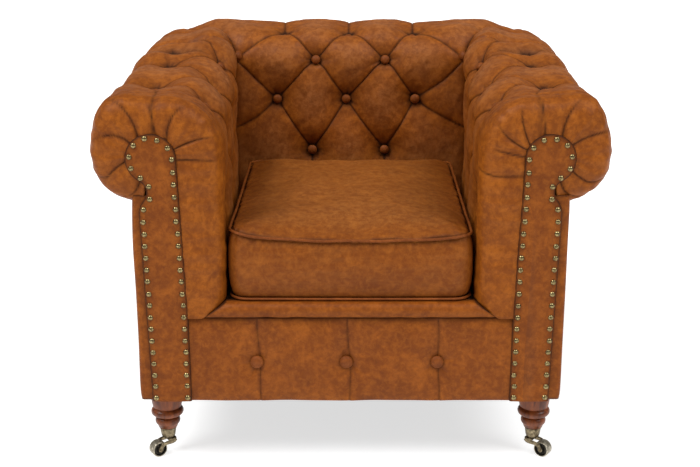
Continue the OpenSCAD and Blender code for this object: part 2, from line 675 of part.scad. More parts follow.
// ---- Legs ----
module front_leg() {
    tenon_r = cup_r - cup_wall;
    tenon_z = cup_top - 12;
    low_c = [bead_low_r - 8.7, cup_top + 15.5];
    top_c = [bead_r - 9.5, cup_top + 35.5];
    shape = concat([[0, tenon_z], [tenon_r, tenon_z], [tenon_r, cup_top], [cup_r + 1, cup_top]],
        arc(low_c, 8.7, -60, 75, 8), arc(top_c, 9.5, -65, 75, 10),
        [[leg_r - 5, cup_top + 46], [leg_r - 4, cup_top + 49], [leg_r, cup_top + 62]],
        [[leg_r, body_z], [0, body_z]]);
    color("saddlebrown") translate([leg_pos[0], leg_pos[1], 0]) difference() {
        rotate_extrude($fn = 64) polygon(shape);
        translate([0, 0, body_z - bolt_l - 1]) cylinder(r = bolt_r + 0.05, h = bolt_l + 2);
    }
}
module rear_leg() {
    a = rear_leg_w / 2;
    f = rear_foot_w;
    top = body_z - fit;
    color("saddlebrown") translate([post_x + post_w / 2, post_y + post_w / 2, 0]) difference() {
        intersection() {
            translate([0, a, 0]) rotate([90, 0, 0]) linear_extrude(2 * a)
                polygon([[-a, top], [-a + (2 * a - f) / 2, 0], [a - (2 * a - f) / 2, 0], [a, top]]);
            translate([-a, 0, 0]) rotate([90, 0, 90]) linear_extrude(2 * a)
                polygon([[-a, top], [a - f, 0], [a, 0], [a, top]]);
        }
        translate([0, 0, body_z - bolt_l - 1]) cylinder(r = bolt_r + 0.05, h = bolt_l + 2);
    }
}

// ---- Casters, drawn with the swivel on the Z axis and the wheel trailing along +X ----
cup_low = cup_top - 22.5;
module at_caster() {
    translate([leg_pos[0], leg_pos[1], 0]) rotate([0, 0, -swivel_turn]) children();
}
module caster_cup() {
    floor_z = cup_top - 12 - fit;
    shape = [[pin_r + run_gap, cup_low], [cup_r - 5.6, cup_low], [cup_r - 3.1, cup_low + 5],
        [cup_r, cup_top - fit], [cup_r - cup_wall + 0.05, cup_top - fit], [cup_r - cup_wall + 0.05, floor_z],
        [pin_r + run_gap, floor_z]];
    color("darkkhaki") translate([leg_pos[0], leg_pos[1], 0]) rotate_extrude($fn = 64) polygon(shape);
}
arm_in = wheel_w / 2 + 0.8;
function bezier(p, t) = pow(1 - t, 3) * p[0] + 3 * t * pow(1 - t, 2) * p[1] + 3 * t * t * (1 - t) * p[2]
    + pow(t, 3) * p[3];
fork_top = cup_low - fit;
horn = [[-9, fork_top - 3], [-4, fork_top - 14], [trail - 6, fork_top + 1], [trail, wheel_r]];
module caster_fork() {
    n = 10;
    function across(i) = let (d = bezier(horn, min(1, i / n + 0.02)) - bezier(horn, max(0, i / n - 0.02)))
        [-d[1], d[0]] / norm(d) * (3.6 - 0.8 * i / n);
    edge = concat([for (i = [0:n]) bezier(horn, i / n) + across(i)],
        [for (i = [n:-1:0]) bezier(horn, i / n) - across(i)]);
    color("darkkhaki") at_caster() difference() {
        union() {
            for (s = [-1, 1]) translate([0, s * (arm_in + fork_t / 2) + fork_t / 2, 0]) rotate([90, 0, 0])
                linear_extrude(fork_t) union() {
                    intersection() {
                        polygon(edge);
                        translate([-20, 0]) square([60, fork_top]);
                    }
                    translate([trail, wheel_r]) circle(r = axle_r + 2);
                }
            translate([-11, -arm_in - fork_t, fork_top - 4]) cube([16, 2 * (arm_in + fork_t), 4]);
            translate([0, 0, fork_top - 1]) cylinder(r = pin_r, h = cup_top - 12 - 2 * fit - fork_top + 1);
        }
        translate([trail, 0, wheel_r]) rotate([90, 0, 0]) cylinder(r = axle_r + 0.02, h = 60, center = true);
    }
}
module caster_axle() {
    reach = arm_in + fork_t;
    color("gold") at_caster() translate([trail, 0, wheel_r]) rotate([90, 0, 0])
        cylinder(r = axle_r, h = 2 * reach + 1, center = true);
}
module caster_wheel() {
    w = wheel_w / 2;
    rim = 2.6;
    hub = axle_r + 2.5;
    dish = 7;
    shape = [[axle_r + run_gap, -w + 1], [hub, -w + 1], [hub, dish - w], [wheel_r - rim, dish - w],
        [wheel_r - rim, -w], [wheel_r - 1, -w], [wheel_r, 1 - w], [wheel_r, w - 1], [wheel_r - 1, w],
        [wheel_r - rim, w], [wheel_r - rim, w - dish], [hub, w - dish], [hub, w - 1],
        [axle_r + run_gap, w - 1]];
    color("silver") at_caster() translate([trail, 0, wheel_r]) rotate([90, 0, 0])
        rotate_extrude($fn = 64) polygon(shape);
}

// ---- Loose seat cushion ----
cushion_w = 2 * (half_w - roll_t - cushion_gap);
cushion_y0 = front_y + cushion_setback;
cushion_y1 = back_y - roll_t - cushion_gap;
cushion_d = cushion_y1 - cushion_y0;
cushion_low = seat_z + fit;
seam_in = 2 * piping_r + fit;
// [inside the cushion's outline, height above its base]
function cushion_levels(e) = [
    [seam_in + 8 + e, e], [seam_in + e, 4 + e * 0.6], [1 + e, 4 + boxing_h * 0.3], [1 + e, 4 + boxing_h * 0.7],
    [seam_in + e, 4 + boxing_h - e * 0.6], [24 + e, 4 + boxing_h + crown_h * 0.42 - e],
    [62 + e, 4 + boxing_h + crown_h * 0.76 - e], [125 + e, 4 + boxing_h + crown_h * 0.96 - e]];
function plan_ring(e) = let (
    r = max(4, cushion_corner - e), x = cushion_w / 2 - e - r, y = cushion_d / 2 - e - r)
    [for (c = [[x, y, 0], [-x, y, 90], [-x, -y, 180], [x, -y, 270]])
        for (p = arc([c[0], c[1]], r, c[2], c[2] + 90, 4)) p];
module cushion_form(e) {
    mid_y = (cushion_y0 + cushion_y1) / 2;
    levels = cushion_levels(e);
    n = len(plan_ring(0));
    m = len(levels);
    pts = concat([for (l = levels, p = plan_ring(l[0])) [p[0], p[1] + mid_y, cushion_low + l[1]]],
        [[0, mid_y, cushion_low + levels[0][1]], [0, mid_y, cushion_low + 4 + boxing_h + crown_h - e]]);
    faces = concat(
        [for (i = [0:m - 2], k = [0:n - 1]) let (a = i * n, b = a + n, l = (k + 1) % n)
            for (f = [[a + k, b + k, a + l], [b + k, b + l, a + l]]) f],
        [for (k = [0:n - 1]) [k, (k + 1) % n, m * n]],
        [for (k = [0:n - 1]) [(m - 1) * n + (k + 1) % n, (m - 1) * n + k, m * n + 1]]);
    polyhedron(pts, faces, convexity = 4);
}
module cushion_cover() {
    color("chocolate") difference() {
        cushion_form(0);
        cushion_form(cover_t);
    }
}
module cushion_core() {
    color("wheat") cushion_form(cover_t + fit);
}
module piping(level) {
    ring = plan_ring(piping_r);
    mid_y = (cushion_y0 + cushion_y1) / 2;
    z = cushion_low + 4 + level;
    color("saddlebrown") tube([for (p = ring) [p[0], p[1] + mid_y, z]], piping_r, 8, closed = true);
}
zip_w = 20;
slider_l = 14;
zip_z = cushion_low + 4 + boxing_h / 2;
zip_y = cushion_y1 - 1 + fit;
zip_t = 1.4;
module cushion_zip() {
    color("dimgray") translate([-zip_l / 2, zip_y, zip_z - zip_w / 2]) cube([zip_l, zip_t, zip_w]);
    color("dimgray") translate([-zip_l / 2 + 4, zip_y + zip_t, zip_z - 3]) cube([zip_l - 8, 1.6, 6]);
}
module zip_slider() {
    y0 = zip_y + zip_t + 0.1;
    color("darkgoldenrod") translate([zip_l / 2 - slider_l - 8, y0, zip_z - 5]) difference() {
        cube([slider_l, 3.4, 10]);
        translate([-1, -1, 1.9]) cube([slider_l + 2, 2.6, 6.2]);
    }
}

// ---- Assembly: the right side is drawn, the left side is its mirror image ----
front_rail();
rear_rail();
mirror([1, 0, 0]) side_rail();  // side_rail_left
side_rail();  // side_rail_right
mirror([1, 0, 0]) scroll_board();  // scroll_board_left
scroll_board();  // scroll_board_right
mirror([1, 0, 0]) back_post();  // back_post_left
back_post();  // back_post_right
mirror([1, 0, 0]) arm_plank();  // arm_plank_left
arm_plank();  // arm_plank_right
back_plank();
mirror([1, 0, 0]) arm_stay();  // arm_stay_left
arm_stay();  // arm_stay_right
back_stay();
corner_blocks();
hanger_bolts();
mirror([1, 0, 0]) front_leg();  // front_leg_left
front_leg();  // front_leg_right
mirror([1, 0, 0]) rear_leg();  // rear_leg_left
rear_leg();  // rear_leg_right
seat_springs();
spring_clips();
deck_pad();
front_lip();
dust_cover();
mirror([1, 0, 0]) arm_lining();  // arm_lining_left
arm_lining();  // arm_lining_right
back_lining();
mirror([1, 0, 0]) arm_foam();  // arm_foam_left
arm_foam();  // arm_foam_right
back_foam();
mirror([1, 0, 0]) inside_arm();  // inside_arm_left
inside_arm();  // inside_arm_right
inside_back();
mirror([1, 0, 0]) outside_arm();  // outside_arm_left
outside_arm();  // outside_arm_right
outside_back();
front_border();
mirror([1, 0, 0]) facing();  // facing_left
facing();  // facing_right
mirror([1, 0, 0]) nails();  // nails_left
nails();  // nails_right
mirror([1, 0, 0]) arm_buttons();  // arm_buttons_left
arm_buttons();  // arm_buttons_right
back_buttons();
border_buttons();
cushion_cover();
cushion_core();
piping(boxing_h);  // piping_top
piping(0);  // piping_bottom
cushion_zip();
zip_slider();
mirror([1, 0, 0]) caster_cup();  // caster_cup_left
caster_cup();  // caster_cup_right
mirror([1, 0, 0]) caster_fork();  // caster_fork_left
caster_fork();  // caster_fork_right
mirror([1, 0, 0]) caster_wheel();  // caster_wheel_left
caster_wheel();  // caster_wheel_right
mirror([1, 0, 0]) caster_axle();  // caster_axle_left
caster_axle();  // caster_axle_right
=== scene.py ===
"""A deep-buttoned club armchair: padding, covers, nails, legs and casters, with their finishes.

Sizes are in metres: X runs across the chair, Y from front to back and Z up, and the origin is
on the floor under the middle. Each sub-assembly is a class that holds its sizes, builds its
meshes and dresses them.
"""
from __future__ import annotations

import logging
import math
from dataclasses import dataclass, field
from enum import Enum
from typing import Any, Sequence

import bpy
import numpy as np
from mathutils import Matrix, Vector


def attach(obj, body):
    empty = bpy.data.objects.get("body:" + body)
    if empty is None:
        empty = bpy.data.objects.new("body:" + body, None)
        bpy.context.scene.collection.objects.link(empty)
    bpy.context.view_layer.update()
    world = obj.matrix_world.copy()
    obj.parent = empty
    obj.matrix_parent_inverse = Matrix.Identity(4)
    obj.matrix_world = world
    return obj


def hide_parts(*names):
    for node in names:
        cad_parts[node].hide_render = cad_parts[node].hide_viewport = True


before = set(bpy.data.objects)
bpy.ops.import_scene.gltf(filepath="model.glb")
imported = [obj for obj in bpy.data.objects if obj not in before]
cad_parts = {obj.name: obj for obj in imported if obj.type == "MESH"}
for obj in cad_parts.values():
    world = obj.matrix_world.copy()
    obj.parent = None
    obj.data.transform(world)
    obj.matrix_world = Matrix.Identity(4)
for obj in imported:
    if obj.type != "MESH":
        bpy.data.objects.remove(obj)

Array = np.ndarray
Number = np.ndarray | float
Material = bpy.types.Material
Object = bpy.types.Object
Socket = bpy.types.NodeSocket
Colour = tuple[float, float, float, float]
Faces = list[tuple[int, ...]]
log = logging.getLogger("armchair")
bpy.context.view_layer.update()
STEP = 4  # cells of a skin's fine outer grid for one of its inner grid
COARSE = (slice(None, None, STEP),) * 2


class Side(Enum):
    """The two sides of the chair, by the sign of X."""

    LEFT = -1
    RIGHT = 1

    @property
    def word(self) -> str:
        """The side's name as the pieces' names spell it."""
        return self.name.lower()


class Body(Enum):
    """The bodies that pieces ride on."""

    CHAIR = "root"
    CUSHION = "seat_cushion"
    SLIDER = "slider"
    CASTER_LEFT = "caster_left"
    CASTER_RIGHT = "caster_right"
    WHEEL_LEFT = "wheel_left"
    WHEEL_RIGHT = "wheel_right"


def tint(code: str) -> Colour:
    """Turns a web colour code into the linear colour that shaders take.

    Args:
        code: Six hexadecimal digits.

    Returns:
        Red, green, blue and a full alpha.
    """
    parts = [int(code[i : i + 2], 16) / 255 for i in (0, 2, 4)]
    lin = [c / 12.92 if c <= 0.04045 else ((c + 0.055) / 1.055) ** 2.4 for c in parts]
    return (lin[0], lin[1], lin[2], 1.0)


def smooth(t: Number) -> Array:
    """Rises smoothly from 0 to 1 as t does."""
    c = np.clip(t, 0.0, 1.0)
    return c * c * (3 - 2 * c)


# ---------------------------------------------------------------- node trees


@dataclass
class Graph:
    """A shader or geometry tree with short calls for its nodes."""

    tree: bpy.types.NodeTree

    def add(self, kind: str, inputs: dict[Any, Any] | None = None, **settings: Any) -> bpy.types.Node:
        """Adds a node.

        Args:
            kind: The node's type name.
            inputs: Values or sockets for its inputs, by name or number.
            settings: The node's own properties.

        Returns:
            The new node.
        """
        node = self.tree.nodes.new(kind)
        for name, value in settings.items():
            setattr(node, name, value)
        for key, value in (inputs or {}).items():
            if isinstance(value, Socket):
                self.tree.links.new(value, node.inputs[key])
            else:
                node.inputs[key].default_value = value
        return node

    def math(self, operation: str, a: Any, b: Any = 0.0, clamp: bool = False) -> Socket:
        """Joins two numbers with a Math node and returns the result's socket."""
        return self.add("ShaderNodeMath", {0: a, 1: b}, operation=operation, use_clamp=clamp).outputs[0]

    def coords(self, stretch: Sequence[float] = (1, 1, 1)) -> Socket:
        """Object coordinates, stretched along each axis."""
        place = self.add("ShaderNodeTexCoord").outputs["Object"]
        return self.add("ShaderNodeMapping", {"Vector": place, "Scale": stretch}).outputs["Vector"]

    def noise(
        self, scale: float, detail: float = 2.0, rough: float = 0.5, warp: float = 0.0, place: Any = None
    ) -> Socket:
        """A noise field.

        Args:
            scale: Its scale per metre.
            detail: Number of finer octaves.
            rough: Weight of the finer octaves.
            warp: How far it is distorted.
            place: The coordinates' socket, or None for plain object coordinates.

        Returns:
            The noise value's socket.
        """
        inputs = {"Scale": scale, "Detail": detail, "Roughness": rough, "Distortion": warp,
                  "Vector": place or self.coords()}
        return self.add("ShaderNodeTexNoise", inputs).outputs[0]

    def spread(self, value: Any, low: float, high: float, to: Sequence[float] = (0.0, 1.0)) -> Socket:
        """Maps low..high of a value to the range given, clamped."""
        inputs = {0: value, 1: low, 2: high, 3: to[0], 4: to[1]}
        return self.add("ShaderNodeMapRange", inputs, clamp=True).outputs[0]

    def mix(self, share: Any, a: Any, b: Any) -> Socket:
        """Mixes two colours by a share and returns the colour's socket."""
        return self.add("ShaderNodeMix", {0: share, 6: a, 7: b}, data_type="RGBA").outputs[2]

    def over(self, base: Any, mask: Any, share: Any, code: str) -> Socket:
        """Lays a web colour over a base where a mask shows, at the share given."""
        return self.mix(self.math("MULTIPLY", mask, share), base, tint(code))

    def mark(self, name: str) -> Socket:
        """The value of a piece's own point attribute."""
        return self.add("ShaderNodeAttribute", attribute_name=name).outputs["Fac"]

    def bump(self, height: Any, distance: float, normal: Any = None, strength: float = 1.0) -> Socket:
        """Adds a bump of that height in metres and returns the normal's socket.

        Args:
            height: The height's socket.
            distance: The bump's height in metres.
            normal: The socket of a normal under it, if there is one.
            strength: How strongly it shows.

        Returns:
            The new normal's socket.
        """
        inputs = {"Height": height, "Distance": distance, "Strength": strength}
        if normal is not None:
            inputs["Normal"] = normal
        return self.add("ShaderNodeBump", inputs).outputs[0]

    def surface(self, **values: Any) -> None:
        """Ends the material in a Principled shader with the values given, by socket name."""
        shader = self.add("ShaderNodeBsdfPrincipled", {k.replace("_", " "): v for k, v in values.items()})
        out = self.add("ShaderNodeOutputMaterial")
        self.tree.links.new(shader.outputs[0], out.inputs[0])


def blank(name: str) -> tuple[Material, Graph]:
    """Makes an empty node material and the graph to fill it.

    Args:
        name: The material's name.

    Returns:
        The material and its graph.
    """
    made = bpy.data.materials.new(name)
    made.use_nodes = True
    made.node_tree.nodes.clear()
    return made, Graph(made.node_tree)


@dataclass(frozen=True)
class Leather:
    """Waxed, hand-rubbed leather: cloudy colour, fine grain, painted shade in the folds and a painted highlight on the
    crowns.
    """

    name: str
    deep: str = "5e2c0b"
    main: str = "89480f"
    pale: str = "ad641d"
    # fold is the dark colour laid as painted shade in folds, pockets, seams and gaps
    fold: str = "1f0b03"
    # worn is the pale colour of the real rubbed wear and also of the painted highlight on the crowns
    worn: str = "a0683f"
    rubbed: float = 0.0

    def material(self) -> Material:
        """Builds the material.

        Returns:
            The material.
        """
        made, g = blank(self.name)
        cloud = g.noise(24, 6, 0.70, 0.5)
        patch = g.noise(84, 5, 0.70, 0.4)
        speck = g.noise(520, 2, 0.6)
        base = g.mix(g.spread(cloud, 0.34, 0.62, (0.45, 1.0)), tint(self.deep), tint(self.main))
        base = g.over(base, g.spread(patch, 0.47, 0.68), 0.38, self.pale)
        base = g.over(base, g.spread(patch, 0.50, 0.34), 0.34, self.deep)
        base = g.over(base, g.spread(cloud, 0.54, 0.74), 0.4, self.pale)
        if self.rubbed:
            brush = g.noise(30, 3, 0.6, 0.2, g.coords((0.5, 7, 4)))
            base = g.over(base, g.spread(brush, 0.42, 0.68), self.rubbed, self.worn)
        # painted highlight: pale sheen colour laid on the puffs' crowns
        base = g.over(base, g.mark("crown"), g.spread(patch, 0.35, 0.65, (0.1, 0.45)), self.worn)
        base = g.over(base, g.spread(speck, 0.5, 0.72), 0.22, self.deep)
        # painted shade: darkens towards the fold colour where the piece's shade mark is high
        base = g.mix(g.math("MULTIPLY", g.mark("crease"), 0.92, True), base, tint(self.fold))
        rough = g.spread(g.noise(60, 3, 0.6), 0.3, 0.7, (0.44, 0.58))
        rough = g.math("ADD", rough, g.math("MULTIPLY", g.mark("crease"), 0.25), True)
        cells = g.add("ShaderNodeTexVoronoi", {"Scale": 640.0, "Vector": g.coords()}).outputs["Distance"]
        normal = g.bump(g.noise(75, 4, 0.6, 0.4), 0.0016, strength=0.35)
        normal = g.bump(cells, 0.00035, normal, 0.35)
        normal = g.bump(g.noise(1500, 2), 0.0002, normal, 0.3)
        g.surface(Base_Color=base, Roughness=rough, Normal=normal, Specular_IOR_Level=0.13)
        return made


@dataclass(frozen=True)
class Wood:
    """Timber with long grain along one axis."""

    name: str
    deep: str
    pale: str
    grain: tuple[float, float, float] = (1, 1, 0.08)
    rough: tuple[float, float] = (0.55, 0.7)
    polish: float = 0.0

    def material(self) -> Material:
        """Builds the material.

        Returns:
            The material.
        """
        made, g = blank(self.name)
        place = g.coords(self.grain)
        band = g.noise(70, 4, 0.6, 1.2, place)
        pore = g.noise(700, 3, 0.6, 0.0, place)
        base = g.mix(g.spread(band, 0.36, 0.66), tint(self.deep), tint(self.pale))
        base = g.over(base, g.spread(pore, 0.5, 0.75), 0.35, self.deep)
        normal = g.bump(pore, 0.0003, strength=0.4)
        rough = g.spread(band, 0.3, 0.7, self.rough)
        g.surface(Base_Color=base, Roughness=rough, Normal=normal, Coat_Weight=self.polish, Coat_Roughness=0.25,
                  Specular_IOR_Level=0.3)
        return made


@dataclass(frozen=True)
class Metal:
    """Worn or aged metal: tarnish in patches over a bright ground."""

    name: str
    dull: str
    bright: str
    rough: tuple[float, float] = (0.25, 0.45)
    patch: float = 120.0
    metallic: float = 1.0
    # inside is the near-black laid as painted shade where a piece's shade mark says, inside the wheel's dish
    inside: str = "0d0b09"

    def material(self) -> Material:
        """Builds the material.

        Returns:
            The material.
        """
        made, g = blank(self.name)
        wear = g.noise(self.patch, 4, 0.65, 0.4)
        fine = g.noise(2200, 2)
        base = g.mix(g.spread(wear, 0.38, 0.66), tint(self.dull), tint(self.bright))
        # painted shade: near-black where the piece's shade mark is high
        base = g.mix(g.mark("crease"), base, tint(self.inside))
        normal = g.bump(fine, 0.00012, strength=0.35)
        g.surface(Base_Color=base, Metallic=self.metallic, Roughness=g.spread(wear, 0.3, 0.7, self.rough[::-1]),
                  Normal=normal)
        return made


@dataclass(frozen=True)
class Weave:
    """Plain-woven cloth with visible threads."""

    name: str
    deep: str
    pale: str
    threads: float = 700.0
    plane: tuple[str, str] = ("X", "Y")
    slub: float = 0.4

    def material(self) -> Material:
        """Builds the material.

        Returns:
            The material.
        """
        made, g = blank(self.name)
        place = g.add("ShaderNodeTexCoord").outputs["Object"]
        waves = [
            g.add("ShaderNodeTexWave", {"Vector": place, "Scale": self.threads / 20, "Distortion": self.slub,
                                        "Detail": 2.0}, bands_direction=axis).outputs["Fac"]
            for axis in self.plane
        ]
        weave = g.math("MAXIMUM", waves[0], waves[1])
        base = g.mix(g.spread(weave, 0.2, 0.9), tint(self.deep), tint(self.pale))
        base = g.over(base, g.spread(g.noise(40, 4, 0.6), 0.4, 0.7), 0.35, self.deep)
        g.surface(Base_Color=base, Roughness=0.9, Normal=g.bump(weave, 0.0005, strength=0.6))
        return made


@dataclass(frozen=True)
class Foam:
    """Open-cell foam, slightly yellowed."""

    name: str
    deep: str = "c9b98a"
    pale: str = "e8dcb4"

    def material(self) -> Material:
        """Builds the material.

        Returns:
            The material.
        """
        made, g = blank(self.name)
        cells = g.add("ShaderNodeTexVoronoi", {"Scale": 420.0, "Vector": g.coords()}).outputs["Distance"]
        base = g.mix(g.spread(cells, 0.05, 0.5), tint(self.deep), tint(self.pale))
        base = g.over(base, g.spread(g.noise(9, 3), 0.4, 0.7), 0.4, self.deep)
        g.surface(Base_Color=base, Roughness=0.95, Normal=g.bump(cells, 0.0006, strength=0.6))
        return made


@dataclass
class Finishes:
    """Every finish on the chair, made once and shared."""

    padding: Leather = Leather("padding_leather")
    panel: Leather = Leather("panel_leather", deep="5a2a0b", main="82430f", pale="a35d1c")
    # a darker copy of the leather, painted shade for the seat's top, with real rubbed wear
    seat: Leather = Leather("seat_leather", main="7f4210", pale="9f5d1e", worn="9a6532", rubbed=0.12)
    button: Leather = Leather("button_leather", deep="5a2b0d", main="7a3f15", pale="965424")
    leg: Wood = Wood("leg_mahogany", "4c2009", "87451c", (1, 1, 0.12), (0.34, 0.46), 0.12)
    timber: Wood = Wood("frame_beech", "a87f55", "cfa877")
    nail: Metal = Metal("aged_nail_brass", "584a31", "a89768", (0.2, 0.36), 260)
    brass: Metal = Metal("antique_brass", "5a4f3e", "9c8d70", (0.28, 0.5), 150)
    tread: Metal = Metal("worn_tread", "77705f", "c4bba8", (0.3, 0.5), 200, 0.85)
    steel: Metal = Metal("spring_steel", "4e5052", "8c8f92", (0.3, 0.5), 90)
    zinc: Metal = Metal("bolt_zinc", "7d8082", "b4b6b5", (0.3, 0.45), 140)
    jute: Weave = Weave("jute_lining", "7d6239", "b89a66", 600, ("Y", "Z"))
    jute_across: Weave = Weave("jute_back_lining", "7d6239", "b89a66", 600, ("X", "Z"))
    ticking: Weave = Weave("deck_ticking", "3d2614", "5a3c22", 1100)
    cambric: Weave = Weave("black_cambric", "101011", "2c2c2e", 1500)
    tape: Weave = Weave("zip_tape", "2c1c10", "54371f", 1800, ("X", "Z"))
    foam: Foam = Foam("seat_foam")
    made: dict[str, Material] = field(default_factory=dict)

    def get(self, name: str) -> Material:
        """Returns a finish's material by its field's name, building it the first time.

        Args:
            name: The field's name.

        Returns:
            The material.
        """
        if name not in self.made:
            self.made[name] = getattr(self, name).material()
        return self.made[name]


# ---------------------------------------------------------------- meshes


def signed_volume(points: Array, faces: Sequence[Sequence[int]]) -> float:
    """Six times the volume that the faces enclose, positive when they point outwards.

    Args:
        points: The points, one row each.
        faces: The faces, by numbers of points.

    Returns:
        The volume, times six.
    """
    total = 0.0
    by_size: dict[int, list[Sequence[int]]] = {}
    for f in faces:
        by_size.setdefault(len(f), []).append(f)
    for size, group in by_size.items():
        index = np.array(group)
        for k in range(1, size - 1):
            a, b, c = points[index[:, 0]], points[index[:, k]], points[index[:, k + 1]]
            total += float(np.einsum("ij,ij->i", a, np.cross(b, c)).sum())
    return total


@dataclass
class Shape:
    """Points and faces gathered for one piece."""

    points: list[Array] = field(default_factory=list)
    faces: Faces = field(default_factory=list)
    marks: dict[str, list[Array]] = field(default_factory=dict)
    count: int = 0

    def add(
        self,
        points: Array,
        faces: Sequence[Sequence[int]],
        closed: bool = True,
        marks: dict[str, Array] | None = None,
    ) -> None:
        """Adds a part.

        Args:
            points: Its points, one row each.
            faces: Its faces, by numbers of its own points.
            closed: Whether it is closed, so that it can be turned to face outwards.
            marks: Values for its points, by name.
        """
        points = np.asarray(points, float).reshape(-1, 3)
        if closed and signed_volume(points, faces) < 0:
            faces = [tuple(reversed(f)) for f in faces]
        self.faces += [tuple(int(i) + self.count for i in f) for f in faces]
        self.points.append(points)
        given = marks or {}
        for name in dict.fromkeys([*self.marks, *given]):
            held = self.marks.setdefault(name, [np.zeros(self.count)] if self.count else [])
            held.append(np.asarray(given.get(name, np.zeros(len(points))), float).ravel())
        self.count += len(points)

    def wrap(self, outer: Array, inner: Array, step: int = STEP, side: Side = Side.RIGHT,
             diagonal: Array | None = None, **marks: Array) -> None:
        """Adds a closed skin between a fine outer grid and a coarse inner one.

        Args:
            outer: The outer grid's points, by column and row, drawn for the right side.
            inner: The inner grid's points, at every step-th column and row.
            step: Cells of the outer grid for one of the inner.
            side: The side it is for.
            diagonal: For each outer cell, whether it is cut along its rising diagonal.
            marks: Values for the outer points, by name; the inner ones have 0.
        """
        points = np.concatenate([outer.reshape(-1, 3), inner.reshape(-1, 3)])
        bare = np.zeros(inner[..., 0].size)
        self.add(mirrored(points, side), shell(outer, inner, step, diagonal), True,
                 {name: np.concatenate([values.ravel(), bare]) for name, values in marks.items()})

    def build(self, name: str, finish: Material, flat: bool = False) -> Object:
        """Makes the object.

        Args:
            name: The piece's name.
            finish: Its material.
            flat: Whether its faces are shaded flat.

        Returns:
            The object, at the origin.
        """
        mesh = bpy.data.meshes.new(name)
        mesh.from_pydata(np.concatenate(self.points).tolist(), [], self.faces)
        mesh.materials.append(finish)
        mesh.shade_flat() if flat else mesh.shade_smooth()
        for mark, values in self.marks.items():
            layer = mesh.attributes.new(mark, "FLOAT", "POINT")
            layer.data.foreach_set("value", np.concatenate(values).astype(np.float32))
        mesh.validate()
        return linked(name, mesh)


def linked(name: str, data: bpy.types.ID) -> Object:
    """Puts a mesh, a light or a camera in the scene.

    Args:
        name: The object's name.
        data: What it shows.

    Returns:
        The object.
    """
    made = bpy.data.objects.new(name, data)
    bpy.context.scene.collection.objects.link(made)
    return made


def solid(name: str, points: Array, faces: Sequence[Sequence[int]], finish: Material,
          flat: bool = False, **marks: Array) -> Object:
    """Makes a piece of one closed part.

    Args:
        name: The piece's name.
        points: Its points, one row each.
        faces: Its faces.
        finish: Its material.
        flat: Whether its faces are shaded flat.
        marks: Values for its points, by name.

    Returns:
        The piece.
    """
    shape = Shape()
    shape.add(points, faces, True, marks)
    return shape.build(name, finish, flat)


def freeze(obj: Object, keep: bool = False) -> bpy.types.Mesh:
    """Turns what an object's modifiers make into its plain mesh.

    Args:
        obj: The object.
        keep: Whether every attribute is kept.

    Returns:
        The new mesh.
    """
    deps = bpy.context.evaluated_depsgraph_get()
    mesh = bpy.data.meshes.new_from_object(obj.evaluated_get(deps), preserve_all_data_layers=keep, depsgraph=deps)
    obj.modifiers.clear()
    obj.data = mesh
    return mesh


def mirrored(points: Array, side: Side) -> Array:
    """Points of the right side, moved to the side given."""
    return points * np.array([side.value, 1.0, 1.0])


def ring_faces(rings: int, sides: int, closed: bool = False, capped: bool = True) -> Faces:
    """Faces between rings of points that follow one another.

    Args:
        rings: Number of rings.
        sides: Number of points in each.
        closed: Whether the last ring joins the first.
        capped: Whether an open run is closed at both ends.

    Returns:
        The faces.
    """
    faces: Faces = []
    for i in range(rings if closed else rings - 1):
        a, b = i * sides, (i + 1) % rings * sides
        faces += [(a + k, a + (k + 1) % sides, b + (k + 1) % sides, b + k) for k in range(sides)]
    if capped and not closed:
        faces += [tuple(range(sides))[::-1], tuple((rings - 1) * sides + k for k in range(sides))]
    return faces


def tube(path: Array, radius: Number, sides: int = 10, closed: bool = False,
         up: Sequence[float] = (0, 0, 1)) -> tuple[Array, Faces]:
    """Sweeps a round section along a path.

    Args:
        path: The points of its middle line.
        radius: Its radius, or one for each point.
        sides: Number of faces round it.
        closed: Whether the path is a loop.
        up: A direction that the path never follows.

    Returns:
        Its points and faces.
    """
    path = np.asarray(path, float)
    n = len(path)
    ahead = np.roll(path, -1, 0) - np.roll(path, 1, 0)
    if not closed:
        ahead[0], ahead[-1] = path[1] - path[0], path[-1] - path[-2]
    ahead /= np.linalg.norm(ahead, axis=1, keepdims=True)
    across = np.cross(np.asarray(up, float), ahead)
    across /= np.linalg.norm(across, axis=1, keepdims=True)
    over = np.cross(ahead, across)
    turn = 2 * np.pi * np.arange(sides) / sides
    size = np.broadcast_to(np.asarray(radius, float), (n,))[:, None, None]
    ring = np.cos(turn)[None, :, None] * across[:, None] + np.sin(turn)[None, :, None] * over[:, None]
    return (path[:, None] + size * ring).reshape(-1, 3), ring_faces(n, sides, closed)


def lathe(profile: Sequence[tuple[float, float]], centre: Sequence[float], steps: int = 64,
          closed: bool = False) -> tuple[Array, Faces]:
    """Turns a profile about an upright axis.

    Args:
        profile: Radius and height of each point, from bottom to top for an open one.
        centre: Where the axis stands.
        steps: Number of faces round it.
        closed: Whether the profile is a loop that stays off the axis.

    Returns:
        Its points and faces.
    """
    turn = 2 * np.pi * np.arange(steps) / steps
    rings = np.array([[[r * math.cos(t), r * math.sin(t), z] for t in turn] for r, z in profile])
    return rings.reshape(-1, 3) + np.asarray(centre, float), ring_faces(len(profile), steps, closed)


def fillet(corners: Sequence[tuple[float, float]], radius: float, steps: int = 5) -> list[tuple[float, float]]:
    """Rounds every corner of a closed outline.

    Args:
        corners: The outline's corners in order.
        radius: The rounding's reach from each corner.
        steps: Number of pieces in each rounding.

    Returns:
        The rounded outline.
    """
    out: list[tuple[float, float]] = []
    n = len(corners)
    for i in range(n):
        p, a, b = (np.array(corners[k % n], float) for k in (i, i - 1, i + 1))
        u, v = a - p, b - p
        reach = min(radius, 0.45 * np.linalg.norm(u), 0.45 * np.linalg.norm(v))
        u, v = p + u / np.linalg.norm(u) * reach, p + v / np.linalg.norm(v) * reach
        for k in range(steps + 1):
            t = k / steps
            q = (1 - t) ** 2 * u + 2 * t * (1 - t) * p + t * t * v
            out.append((float(q[0]), float(q[1])))
    return out


